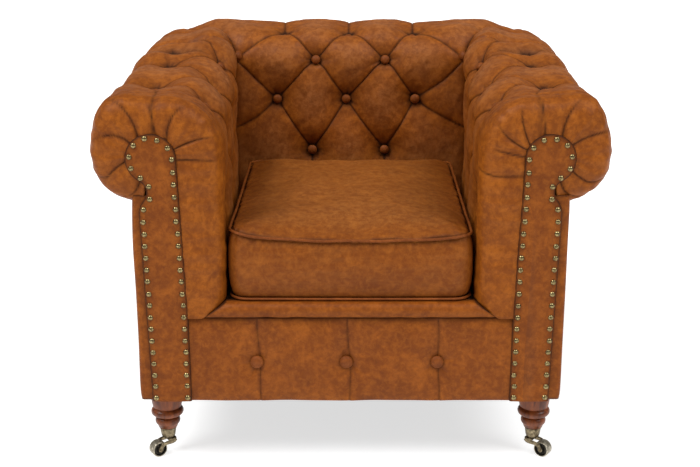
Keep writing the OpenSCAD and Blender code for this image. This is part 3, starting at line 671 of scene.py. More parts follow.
def shell(outer: Array, inner: Array, step: int, diagonal: Array | None = None) -> Faces:
    """Faces of a closed skin between a fine outer grid and a coarse inner one.

    Args:
        outer: The outer grid's points, by column and row.
        inner: The inner grid's points, at every step-th column and row.
        step: Cells of the outer grid for one of the inner.
        diagonal: For each outer cell, whether it is cut along its rising diagonal.

    Returns:
        The faces, by numbers of the outer points and then the inner ones.
    """
    ni, nj = outer.shape[:2]
    mi, mj = inner.shape[:2]
    first = ni * nj
    i, j = np.meshgrid(np.arange(ni - 1), np.arange(nj - 1), indexing="ij")
    a, b, c, d = i * nj + j, (i + 1) * nj + j, (i + 1) * nj + j + 1, i * nj + j + 1
    faces: Faces = []
    if diagonal is None:
        faces += np.stack([a, b, c, d], -1).reshape(-1, 4).tolist()
    else:
        rising = diagonal.astype(bool)
        for cut, tris in ((rising, ((a, b, c), (a, c, d))), (~rising, ((a, b, d), (b, c, d)))):
            for t in tris:
                faces += np.stack([x[cut] for x in t], -1).tolist()
    i, j = np.meshgrid(np.arange(mi - 1), np.arange(mj - 1), indexing="ij")
    a, b, c, d = (first + k for k in (i * mj + j, i * mj + j + 1, (i + 1) * mj + j + 1, (i + 1) * mj + j))
    faces += np.stack([a, b, c, d], -1).reshape(-1, 4).tolist()

    def edge(fine: list[int], coarse: list[int]) -> None:
        """Joins a border of the outer grid to the same border of the inner one.

        Args:
            fine: The outer border's points in order.
            coarse: The inner border's points in order.
        """
        for k in range(len(coarse) - 1):
            p, q = coarse[k], coarse[k + 1]
            run = fine[k * step : k * step + step + 1]
            half = step // 2
            for m in range(step):
                faces.append((run[m + 1], run[m], p if m < half else q))
            faces.append((run[half], p, q))

    rim_out = [i * nj for i in range(ni)], [i * nj + nj - 1 for i in range(ni)]
    rim_in = [first + i * mj for i in range(mi)], [first + i * mj + mj - 1 for i in range(mi)]
    edge(rim_out[0], rim_in[0])
    edge(rim_out[1][::-1], rim_in[1][::-1])
    edge(list(range(nj))[::-1], [first + j for j in range(mj)][::-1])
    edge([(ni - 1) * nj + j for j in range(nj)], [first + (mi - 1) * mj + j for j in range(mj)])
    return faces


def wander(p: Array, q: Array, seed: int, size: float, length: tuple[float, float] = (0.06, 0.2)) -> Array:
    """A soft irregular field over a surface, as a sum of a few waves.

    Args:
        p: One coordinate over the surface.
        q: The other.
        seed: Seed of the waves.
        size: Its usual height.
        length: Shortest and longest wave.

    Returns:
        The field's value at each point.
    """
    rng = np.random.default_rng(seed)
    out = np.zeros(np.broadcast(p, q).shape)
    for _ in range(7):
        turn, start = rng.uniform(0, 2 * np.pi, 2)
        k = 2 * np.pi / rng.uniform(*length)
        out += np.sin(k * (p * math.cos(turn) + q * math.sin(turn)) + start)
    return out * size / 2.0


def bake(obj: Object, tree: "Recipe", **values: Any) -> Object:
    """Runs a geometry recipe on a piece and keeps the result as its plain mesh.

    Args:
        obj: The piece that carries the recipe's starting geometry.
        tree: The recipe.
        values: Its inputs, by name.

    Returns:
        The same object with its new mesh and no modifier.
    """
    live = obj.modifiers.new("recipe", "NODES")
    live.node_group = tree.group
    for name, value in values.items():
        live[tree.sockets[name]] = value
    old = obj.data
    freeze(obj, True).name = obj.name
    bpy.data.meshes.remove(old)
    return obj


@dataclass
class Recipe:
    """A geometry tree with named inputs that ends in real faces and a material."""

    name: str
    group: bpy.types.NodeTree = field(init=False)
    sockets: dict[str, str] = field(default_factory=dict)

    def __post_init__(self) -> None:
        """Makes the tree with its geometry and material inputs."""
        self.group = bpy.data.node_groups.new(self.name, "GeometryNodeTree")
        face = self.group.interface
        face.new_socket(name="Geometry", in_out="INPUT", socket_type="NodeSocketGeometry")
        face.new_socket(name="Geometry", in_out="OUTPUT", socket_type="NodeSocketGeometry")
        self.ask("Finish", "NodeSocketMaterial")
        self.graph = Graph(self.group)

    def ask(self, name: str, kind: str = "NodeSocketFloat", value: Any = None) -> None:
        """Adds a named input.

        Args:
            name: The input's name.
            kind: Its socket's type name.
            value: Its value until it is set.
        """
        item = self.group.interface.new_socket(name=name, in_out="INPUT", socket_type=kind)
        if value is not None:
            item.default_value = value
        self.sockets[name] = item.identifier

    def start(self) -> bpy.types.Node:
        """The node that gives the tree's inputs."""
        return self.graph.add("NodeGroupInput")

    def end(self, geometry: Socket, source: bpy.types.Node) -> None:
        """Makes instances real, sets the finish and ends the tree.

        Args:
            geometry: The socket of the instances.
            source: The node that gives the tree's inputs.
        """
        real = self.graph.add("GeometryNodeRealizeInstances", {"Geometry": geometry}).outputs[0]
        soft = self.graph.add("GeometryNodeSetShadeSmooth", {"Geometry": real}).outputs[0]
        done = self.graph.add("GeometryNodeSetMaterial", {"Geometry": soft, "Material": source.outputs["Finish"]})
        out = self.graph.add("NodeGroupOutput")
        self.group.links.new(done.outputs[0], out.inputs[0])


def dome_recipe() -> Recipe:
    """A recipe that sets one domed head, facing along the point's aim, on every point.

    Returns:
        The recipe.
    """
    tree = Recipe("domed_heads")
    tree.ask("Radius", value=0.011)
    tree.ask("Height", value=0.006)
    tree.ask("Segments", "NodeSocketInt", 24)
    tree.ask("Uneven", value=0.04)
    g, source = tree.graph, tree.start()
    ball = g.add("GeometryNodeMeshUVSphere", {"Segments": source.outputs["Segments"], "Rings": 12, "Radius": 1.0})
    size = g.add("ShaderNodeCombineXYZ", {0: source.outputs["Radius"], 1: source.outputs["Radius"],
                                          2: source.outputs["Height"]})
    head = g.add("GeometryNodeTransform", {"Geometry": ball.outputs[0], "Scale": size.outputs[0]})
    aim = g.add("GeometryNodeInputNamedAttribute", {"Name": "aim"}, data_type="FLOAT_VECTOR")
    turn = g.add("FunctionNodeAlignRotationToVector", {"Vector": aim.outputs[0]}, axis="Z")
    low = g.math("SUBTRACT", 1.0, source.outputs["Uneven"])
    high = g.math("ADD", 1.0, source.outputs["Uneven"])
    vary = g.add("FunctionNodeRandomValue", {2: low, 3: high, "Seed": 7}, data_type="FLOAT")
    heads = g.add("GeometryNodeInstanceOnPoints", {"Points": source.outputs[0], "Instance": head.outputs[0],
                                                   "Rotation": turn.outputs[0], "Scale": vary.outputs[1]})
    tree.end(heads.outputs[0], source)
    return tree


def sweep_recipe() -> Recipe:
    """A recipe that sweeps a round wire along the starting edges, and repeats it across the chair.

    Returns:
        The recipe.
    """
    tree = Recipe("swept_wire")
    tree.ask("Radius", value=0.002)
    tree.ask("Sides", "NodeSocketInt", 10)
    tree.ask("Copies", "NodeSocketInt", 1)
    tree.ask("Spacing", value=0.1)
    g, source = tree.graph, tree.start()
    line = g.add("GeometryNodeMeshToCurve", {"Mesh": source.outputs[0]})
    ring = g.add("GeometryNodeCurvePrimitiveCircle", {"Resolution": source.outputs["Sides"],
                                                      "Radius": source.outputs["Radius"]})
    wire = g.add("GeometryNodeCurveToMesh", {"Curve": line.outputs[0], "Profile Curve": ring.outputs[0],
                                             "Fill Caps": True})
    gap = g.add("ShaderNodeCombineXYZ", {0: source.outputs["Spacing"]})
    reach = g.math("MULTIPLY", source.outputs["Spacing"], g.math("SUBTRACT", source.outputs["Copies"], 1.0))
    first = g.add("ShaderNodeCombineXYZ", {0: g.math("MULTIPLY", reach, -0.5)})
    row = g.add("GeometryNodeMeshLine", {"Count": source.outputs["Copies"], "Start Location": first.outputs[0],
                                         "Offset": gap.outputs[0]})
    wires = g.add("GeometryNodeInstanceOnPoints", {"Points": row.outputs[0], "Instance": wire.outputs[0]})
    tree.end(wires.outputs[0], source)
    return tree


def row_recipe() -> Recipe:
    """A recipe that sets a small block at even steps along the starting edges.

    Returns:
        The recipe.
    """
    tree = Recipe("blocks_in_a_row")
    tree.ask("Step", value=0.003)
    tree.ask("Size", "NodeSocketVector", (0.001, 0.001, 0.001))
    g, source = tree.graph, tree.start()
    line = g.add("GeometryNodeMeshToCurve", {"Mesh": source.outputs[0]})
    even = g.add("GeometryNodeResampleCurve", {"Curve": line.outputs[0], "Length": source.outputs["Step"]},
                 mode="LENGTH")
    block = g.add("GeometryNodeMeshCube", {"Size": source.outputs["Size"]})
    turn = g.add("FunctionNodeAlignRotationToVector", {"Vector": g.add("GeometryNodeInputTangent").outputs[0]},
                 axis="X")
    blocks = g.add("GeometryNodeInstanceOnPoints", {"Points": even.outputs[0], "Instance": block.outputs[0],
                                                    "Rotation": turn.outputs[0]})
    tree.end(blocks.outputs[0], source)
    return tree


def aimed_points(name: str, points: Array, aims: Array) -> Object:
    """Loose points that each carry the direction their head faces.

    Args:
        name: The object's name.
        points: The points, one row each.
        aims: Their directions, one row each.

    Returns:
        The object.
    """
    mesh = bpy.data.meshes.new(name)
    mesh.from_pydata(np.asarray(points, float).tolist(), [], [])
    layer = mesh.attributes.new("aim", "FLOAT_VECTOR", "POINT")
    layer.data.foreach_set("vector", np.asarray(aims, np.float32).ravel())
    return linked(name, mesh)


def edge_line(name: str, path: Array) -> Object:
    """A bare line of edges along a path.

    Args:
        name: The object's name.
        path: The line's points.

    Returns:
        The object.
    """
    mesh = bpy.data.meshes.new(name)
    mesh.from_pydata(np.asarray(path, float).tolist(), [(i, i + 1) for i in range(len(path) - 1)], [])
    return linked(name, mesh)


def settle(obj: Object, body: Body, slot: str, *nodes: str, fill: float | None = None) -> Object:
    """Hands a finished piece over to the frame.

    Args:
        obj: The piece.
        body: The body it rides on.
        slot: The record's material slot; not used.
        nodes: The CAD nodes it stands for.
        fill: How full it is, when it is padded; not used.

    Returns:
        The piece.
    """
    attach(obj, body.value)
    if nodes:
        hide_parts(*nodes)
    log.info("%s: %d faces", obj.name, len(obj.data.polygons))
    return obj


# ---------------------------------------------------------------- padding


@dataclass(frozen=True)
class Roll:
    """The padding's cross-section: up the inner wall, over the crest and round the scroll.

    s is the way along it and e how far inside its surface; q is the distance in from the
    outermost scroll.
    """

    radius: float = 0.098
    depth: float = 0.248
    crest: float = 0.052
    low: float = 0.353
    centre: float = 0.650
    under: float = math.radians(77.03)
    rise: float = 0.042
    half_w: float = 0.490
    back: float = 0.450
    front: float = -0.4395
    rise_end: float = 0.190
    rise_len: float = 0.300
    flare: float = 0.0240
    flare_from: float = -0.110
    flare_to: float = 0.205
    corner_drop: float = 0.018
    corner_r: float = 0.125

    @property
    def wall(self) -> float:
        """Height of the inner wall."""
        return self.centre - self.low

    @property
    def quarter(self) -> float:
        """Length of the shoulder."""
        return self.radius * math.pi / 2

    @property
    def scroll(self) -> float:
        """Where the outer scroll starts."""
        return self.wall + self.quarter + self.crest

    @property
    def length(self) -> float:
        """Length of the whole section."""
        return self.scroll + self.radius * (math.pi / 2 + self.under)

    def angle(self, s: Number) -> Array:
        """How far the surface has turned at s, in radians."""
        first = np.clip((s - self.wall) / self.radius, 0, math.pi / 2)
        return first + np.clip((s - self.scroll) / self.radius, 0, None)

    def point(self, s: Number, e: Number) -> tuple[Array, Array]:
        """The section's q and z at s, e inside its surface.

        Args:
            s: The way over the section.
            e: How far inside the surface.

        Returns:
            Distance in from the scroll, and height.
        """
        turn = self.angle(s)
        q0 = np.where(s < self.wall + self.quarter, self.depth - self.radius,
                      np.maximum(self.depth - self.radius - (s - self.wall - self.quarter), self.radius))
        z0 = np.where(s < self.wall, self.low + s, self.centre)
        return q0 + (self.radius - e) * np.cos(turn), z0 + (self.radius - e) * np.sin(turn)

    def lift(self, z: Number, climb: Number) -> Array:
        """Height z once the section has climbed at its crest."""
        return np.where(z > self.centre, z + climb, z + climb * np.maximum(0, z - self.low) / self.wall)

    def climb(self, y: Number) -> Array:
        """How far an arm's crest has climbed at y."""
        return self.rise * smooth((y - self.rise_end + self.rise_len) / self.rise_len)

    def spread_out(self, s: Number, y: Number) -> Array:
        """How far an arm's inner wall stands outwards at s and y, as the arms spread to the rear."""
        way = np.clip((y - self.flare_from) / (self.flare_to - self.flare_from), 0, 1)
        return self.flare * way ** 1.25 * (1 - smooth((s - self.wall + 0.03) / 0.13))

    def sag(self, x: Number, y: Number, z: Number) -> Array:
        """How far the crest drops towards the chair's rear outer corners."""
        return (self.corner_drop * smooth((np.abs(x) - 0.315) / 0.075) * smooth((y - 0.03) / 0.17)
                * smooth((z - 0.60) / 0.12))

    def seam(self, s: Number) -> Array:
        """How far both paddings sink in towards the corner's seam at s."""
        ends = smooth(s / 0.06) * smooth((self.length - s) / 0.06)
        return ends * 0.0095

    def corner(self, x: Number, y: Number) -> tuple[Array, Array]:
        """Rounds the chair's rear outer corners in plan.

        Args:
            x: Place across the chair.
            y: Place from front to back.

        Returns:
            The rounded X and Y.
        """
        reach = self.corner_r
        cx, cy = self.half_w - reach, self.back - reach
        dx, dy = np.clip(np.abs(x) - cx, 0, None) / reach, np.clip(y - cy, 0, None) / reach
        far = np.hypot(dx, dy)
        pull = np.where((dx > 0) & (dy > 0), np.maximum(dx, dy) / np.maximum(far, 1e-9), 1.0)
        return (np.sign(x) * np.where(dx > 0, cx + dx * pull * reach, np.abs(x)),
                np.where(dy > 0, cy + dy * pull * reach, y))


@dataclass(frozen=True)
class Tufting:
    """Deep diamonds between staggered rows of buttons, with straight pleats past the last rows."""

    depth: float = 0.0300
    fold: float = 0.33
    sharp: float = 0.30
    pocket: float = 0.0300
    uneven: float = 0.0022
    pull_deep: float = 0.0021
    over_deep: float = 0.0095
    seed: int = 3

    def lines(self, u: Array, v: Array) -> tuple[Array, Array]:
        """Distance from the two families of folds, 0 on a fold and 1 between two.

        Args:
            u: Lattice place along the padding.
            v: Lattice place over it.

        Returns:
            The two distances.
        """
        w = np.clip(v, 0, 3)
        p, r = (u + w - 1) / 2, (u - w - 1) / 2
        return 2 * np.abs(p - np.round(p)), 2 * np.abs(r - np.round(r))

    def puff(self, u: Array, v: Array) -> Array:
        """Height of the puffs, 0 on a fold and 1 at a crown."""
        p, r = self.lines(u, v)
        return ((1 - (1 - p) ** 2) * (1 - (1 - r) ** 2)) ** self.sharp

    def full(self, u: Array, v: Array) -> Array:
        """How much more or less than its neighbours each puff is filled, from -1 to 1.

        Args:
            u: Lattice place along the padding.
            v: Lattice place over it.

        Returns:
            The fillings.
        """
        w = np.clip(v, 0, 3)
        i = np.floor((u + w - 1) / 2).astype(int) + 20
        j = np.floor((u - w - 1) / 2).astype(int) + 20
        table = np.random.default_rng(self.seed).uniform(-1, 1, (48, 48))
        return table[i, j]

    def wrinkles(self, t: Array, s: Array, buttons: Array, seed: int) -> Array:
        """Short pull lines that run out from the buttons.

        Args:
            t: The way along the padding.
            s: The way over its section.
            buttons: The buttons' t and s.
            seed: Seed of their directions.

        Returns:
            Their depth at each point, from 0 to 1.
        """
        rng = np.random.default_rng(seed)
        out = np.zeros(t.shape)
        for bt, bs in buttons:
            near = (np.abs(t - bt) < 0.075) & (np.abs(s - bs) < 0.075)
            dt, ds = t[near] - bt, s[near] - bs
            total = np.zeros(dt.shape)
            for k in range(rng.integers(5, 8)):
                turn = rng.uniform(-0.62, 0.62) + (math.pi if k % 2 else 0.0)
                if rng.random() < 0.3:
                    turn = rng.uniform(0, 2 * math.pi)
                reach, bend = rng.uniform(0.028, 0.062), rng.uniform(-5, 5)
                ahead = dt * math.cos(turn) + ds * math.sin(turn)
                aside = -dt * math.sin(turn) + ds * math.cos(turn) - bend * ahead**2
                run = smooth((ahead - 0.004) / 0.008) * (1 - smooth((ahead - 0.012) / (reach - 0.012)))
                total += rng.uniform(0.5, 1.0) * run * np.exp(-((aside / 0.0024) ** 2))
            out[near] += total
        return np.clip(out, 0, 1.4)


@dataclass
class Skin:
    """What shapes a padding's surface before it is placed, with its painted shade and painted highlight marks."""

    dip: Array
    # painted shade, from 0 to 1
    crease: Array
    # painted highlight on the crowns, from 0 to 1
    crown: Array


@dataclass
class Padding:
    """What the arms' and the back's padding share.

    thick is how deep it is, hide the least depth of leather over it, cell the width between two
    folds, over the lattice places of the folds that run over the crest, and fine, low_cells and
    tail_cells how finely its grid is cut.
    """

    roll: Roll = field(default_factory=Roll)
    tuft: Tufting = field(default_factory=Tufting)
    thick: float = 0.026
    hide: float = 0.0045
    cell: float = 0.083
    over: tuple[float, ...] = ()
    fine: int = 32
    low_cells: int = 44
    tail_cells: int = 84
    draw: float = 1.35
    button_r: float = 0.0108
    button_h: float = 0.0066
    sunk: float = 0.0190
    crest_sunk: float = 0.012

    def to_mitre(self, cols: int) -> Array:
        """Shares of the way to a mitre for its columns, closer together towards it."""
        return 1 - (1 - np.arange(1, cols + 1) / cols) ** self.draw

    def tuft_buttons(self, word: str, recipe: Recipe, finish: Material) -> Object:
        """Sets the covered buttons in their pockets."""
        made = aimed_points(f"tuft_buttons_{word}", *self.button_spots())
        return bake(made, recipe, Radius=self.button_r, Height=self.button_h, Segments=28, Uneven=0.04, Finish=finish)

    def button_spots(self) -> tuple[Array, Array]:
        """Middles and aims of the buttons, which each kind of padding works out for itself."""
        raise NotImplementedError

    def levels(self) -> Array:
        """The grid's rows, as places between the button rows: -1 at the seat and 4 at the underside.

        Returns:
            The rows' places.
        """
        low = np.linspace(-1, 0, self.low_cells + 1)
        rows = np.arange(1, 3 * self.fine + 1) / self.fine
        tail = 3 + np.arange(1, self.tail_cells + 1) / self.tail_cells
        return np.concatenate([low, rows, tail])

    def dress(self, t: Array, s: Array, u: Array, v: Array, amount: Array, buttons: Array, seed: int) -> Skin:
        """Works out the tufting over a grid.

        Args:
            t: The way along the padding.
            s: The way over its section.
            u: Lattice place along it.
            v: Lattice place over it.
            amount: How strong the tufting is at each point.
            buttons: The buttons' t and s.
            seed: Seed of the small irregularities.

        Returns:
            The surface's dips, its painted shade mark and its painted highlight mark.
        """
        puff = self.tuft.puff(u, v)
        p, r = self.tuft.lines(u, v)
        line = np.minimum(p, r)
        near = np.full(t.shape, 1.0)
        for bt, bs in buttons:
            near = np.minimum(near, np.hypot(t - bt, s - bs))
        pocket = np.exp(-((near / self.tuft.pocket) ** 1.15))
        tail = np.clip(v - 3, 0, 1)
        fold = self.tuft.fold * (1 - puff) * (1 - 0.55 * smooth(tail / 0.9)) * (1 - 0.35 * smooth(-v / 0.9))
        dip = self.tuft.depth * (1 - (1 - fold * amount) * (1 - pocket))
        dip -= self.tuft.uneven * self.tuft.full(u, v) * puff * amount * smooth((1 - tail) * 4)
        pull = self.tuft.wrinkles(t, s, buttons, seed)
        dip += self.tuft.pull_deep * pull * (1 - pocket)
        dip += wander(t, s, seed + 1, 0.0011) + wander(t, s, seed + 2, 0.00035, (0.018, 0.05))
        extra = np.zeros(t.shape)
        for place in self.over:
            aside = np.abs(u - place - 0.12 * np.sin(2.2 * v)) * self.cell
            start = 2.25 if place % 2 else 2.95
            extra = np.maximum(extra, np.exp(-((aside / 0.011) ** 0.8)) * smooth((v - start) / 0.3)
                               * (1 - smooth((v - 3.9) / 0.4)))
        # painted shade: dark lines along the folds and the crest's pleats, rings and halos round the buttons, and along
        # the pull wrinkles
        sharp = np.exp(-((line / 0.034) ** 1.5)) * amount * (1 - 0.6 * smooth(tail / 0.8))
        dip += self.tuft.over_deep * extra
        crease = np.clip(0.80 * np.maximum(sharp, extra**2) + 0.80 * np.exp(-((near / 0.0150) ** 3)) + 0.32 * pull
                         + 0.30 * np.exp(-((near / 0.026) ** 2)), 0, 1)
        # painted highlight: paler colour on the puffs' crowns
        crown = np.clip(puff * amount, 0, 1) ** 5
        return Skin(dip, crease, crown)

    def rising(self, u: Array, v: Array) -> Array:
        """For each cell, whether its cut follows the family of folds that rises with u.

        Args:
            u: Lattice place along the padding.
            v: Lattice place over it.

        Returns:
            True for each cell that does.
        """
        um = (u[:-1, :-1] + u[1:, 1:]) / 2
        vm = (v[:-1, :-1] + v[1:, 1:]) / 2
        p, r = self.tuft.lines(um, vm)
        return r < p


@dataclass
class BackPadding(Padding):
    """The inside back, from mitre to mitre, with its crest and rear scroll."""

    pitch: float = 0.163
    rows: tuple[float, ...] = (0.129, 0.236, 0.325, 0.425)
    ends: tuple[float, ...] = (2.3, 2.3, 2.56, 2.85, 3.0, 3.5, 4.3)
    shift: tuple[float, ...] = (-0.005, -0.010, 0.0, -0.0045)
    swell: tuple[float, ...] = (0.05, -0.01, -0.01, -0.08)
    corner_s: float = 0.333
    corner_in: float = 0.0035
    corner_off: float = 0.004
    even: float = 0.2415
    seed: int = 11
    mitre_cols: int = 56

    def place(self, x: Number, s: Number, e: Number) -> Array:
        """Points of the back at x and s, e inside the surface.

        Args:
            x: Place across the chair.
            s: The way over the section.
            e: How far inside the surface.

        Returns:
            The points, one row each.
        """
        q, z = self.roll.point(s, e)
        px, py = self.roll.corner(x, self.roll.back - q)
        high = self.roll.lift(z, self.roll.rise)
        return np.stack([px, py, high - self.roll.sag(px, py, high)], -1)

    def reach(self, s: Number, e: Number) -> Array:
        """How far from the middle the back ends against the arms at s, e inside the surface."""
        return self.roll.half_w - self.roll.point(s, e)[0] + self.roll.spread_out(s, 1.0)

    def sway(self, x: Number, v: Number) -> Array:
        """The listed places of the buttons along each row, spread over the surface.

        Args:
            x: Place across the chair.
            v: Lattice place over it.

        Returns:
            How far each point moves across.
        """
        rows = [-1, 0, 1, 2, 3, 4]
        add = np.interp(v, rows, [self.shift[0], *self.shift, 0.0])
        grow = np.interp(v, rows, [self.swell[0], *self.swell, 0.0])
        fade = 1 - smooth((np.abs(x) - 0.17) / 0.06)
        return (add + grow * x) * fade

    def across(self, x: Array, v: Array, reach: Array) -> Array:
        """Lattice place of x: even in the middle, and drawn to the corners' folds past the last buttons.

        Args:
            x: Place across the chair.
            v: Lattice place over it.
            reach: How far from the middle the back ends.

        Returns:
            The lattice places.
        """
        half = self.pitch / 2
        last = np.interp(v, (-1, 0, 0.44, 1, 2, 3, 4), self.ends)
        far = 2 + (np.abs(x) - 2 * half) / (reach - 2 * half) * (last - 2)
        return np.where(np.abs(x) <= 2 * half, x / half, np.sign(x) * far)

    def drawn_out(self, base: Array, share: Array, reach: Array) -> Array:
        """X of the columns once each has gone its share of the way out to its mitre."""
        return base * (1 - share) + np.sign(base) * reach * share

    def height(self, v: Number) -> Array:
        """The way over the section at lattice place v."""
        return np.interp(v, [-1, 0, 1, 2, 3, 4], [0, *self.rows, self.roll.length])

    def buttons(self) -> list[tuple[int, int]]:
        """Lattice places of the back's own buttons.

        Returns:
            Their places along and over the padding.
        """
        half = self.pitch / 2
        return [(u, v) for v in range(4) for u in range(-5, 6)
                if (u + v) % 2 and abs(u) * half < (0.24 if v < 2 else 0.205 if v == 2 else 0.36)]

    def build(self, finish: Material) -> Object:
        """Makes the back's padding.

        Args:
            finish: Its material.

        Returns:
            The piece.
        """
        half, cols = self.pitch / 2, self.mitre_cols
        count = int(self.even / half * self.fine)
        inner = np.arange(-count, count + 1) * half / self.fine
        f = self.to_mitre(cols)
        share = np.concatenate([f[::-1], np.zeros(len(inner)), f])[:, None]
        base = np.concatenate([np.full(cols, inner[0]), inner, np.full(cols, inner[-1])])[:, None]
        v = np.repeat(self.levels()[None], len(base), 0)
        s = self.height(v)
        seam = self.roll.seam(s)
        reach = self.reach(s, seam)
        x = self.drawn_out(base, share, reach)
        u = self.across(x, v, reach)
        gap = np.abs(np.abs(x) - reach)
        amount = smooth(s / 0.05) * smooth((self.roll.length - s) / 0.06) * smooth((gap + 0.010) / 0.024)
        spots = np.array([(u0 * half, self.rows[v0]) for u0, v0 in self.buttons()])
        skin = self.dress(x, s, u, v, amount, spots, self.seed)
        mitre = np.exp(-gap / 0.011)
        e = skin.dip * (1 - mitre) + seam * mitre
        outer = self.place(self.drawn_out(base, share, self.reach(s, e)) + self.sway(x, v), s, e)
        s_in, deep = s[COARSE], np.maximum(self.thick, e[COARSE] + self.hide)
        x_in = self.drawn_out(base[::STEP], share[::STEP], self.reach(s_in, deep))
        shape = Shape()
        # painted shade: the tufting's marks, and a dark line along the mitre against the arms; painted highlight on the
        # crowns
        shape.wrap(outer, self.place(x_in, s_in, deep), diagonal=self.rising(u, v), crown=skin.crown,
                   crease=np.maximum(skin.crease, 0.8 * np.exp(-gap / 0.004)))
        return shape.build("back_padding", finish)

    def button_spots(self) -> tuple[Array, Array]:
        """Middles and aims of the back's buttons, with the two at the corners.

        Returns:
            The middles and the aims, one row each.
        """
        half, points, aims = self.pitch / 2, [], []
        for u, v in self.buttons():
            x, s = u * half, self.rows[v]
            turn = float(self.roll.angle(s))
            points.append(self.place(x + self.sway(x, v), s, self.sunk + self.crest_sunk * (v == 3)))
            aims.append((0.0, -math.cos(turn), math.sin(turn)))
        s = self.corner_s
        turn = float(self.roll.angle(s))
        for side in Side:
            x = side.value * (self.reach(s, self.corner_in) - self.corner_off)
            points.append(self.place(x, s, self.corner_in))
            aim = np.array([-side.value * math.cos(turn), -math.cos(turn), 1.4 * math.sin(turn)])
            aims.append(tuple(aim / np.linalg.norm(aim)))
        return np.array(points), np.array(aims)


@dataclass(frozen=True)
class Pleat:
    """One listed pleat that runs over an arm's rounded front, out from the facing.

    places are the ways over the section at the turns given, in metres and degrees.
    """

    places: tuple[float, ...]
    turns: tuple[float, ...]
    depth: float = 0.0056


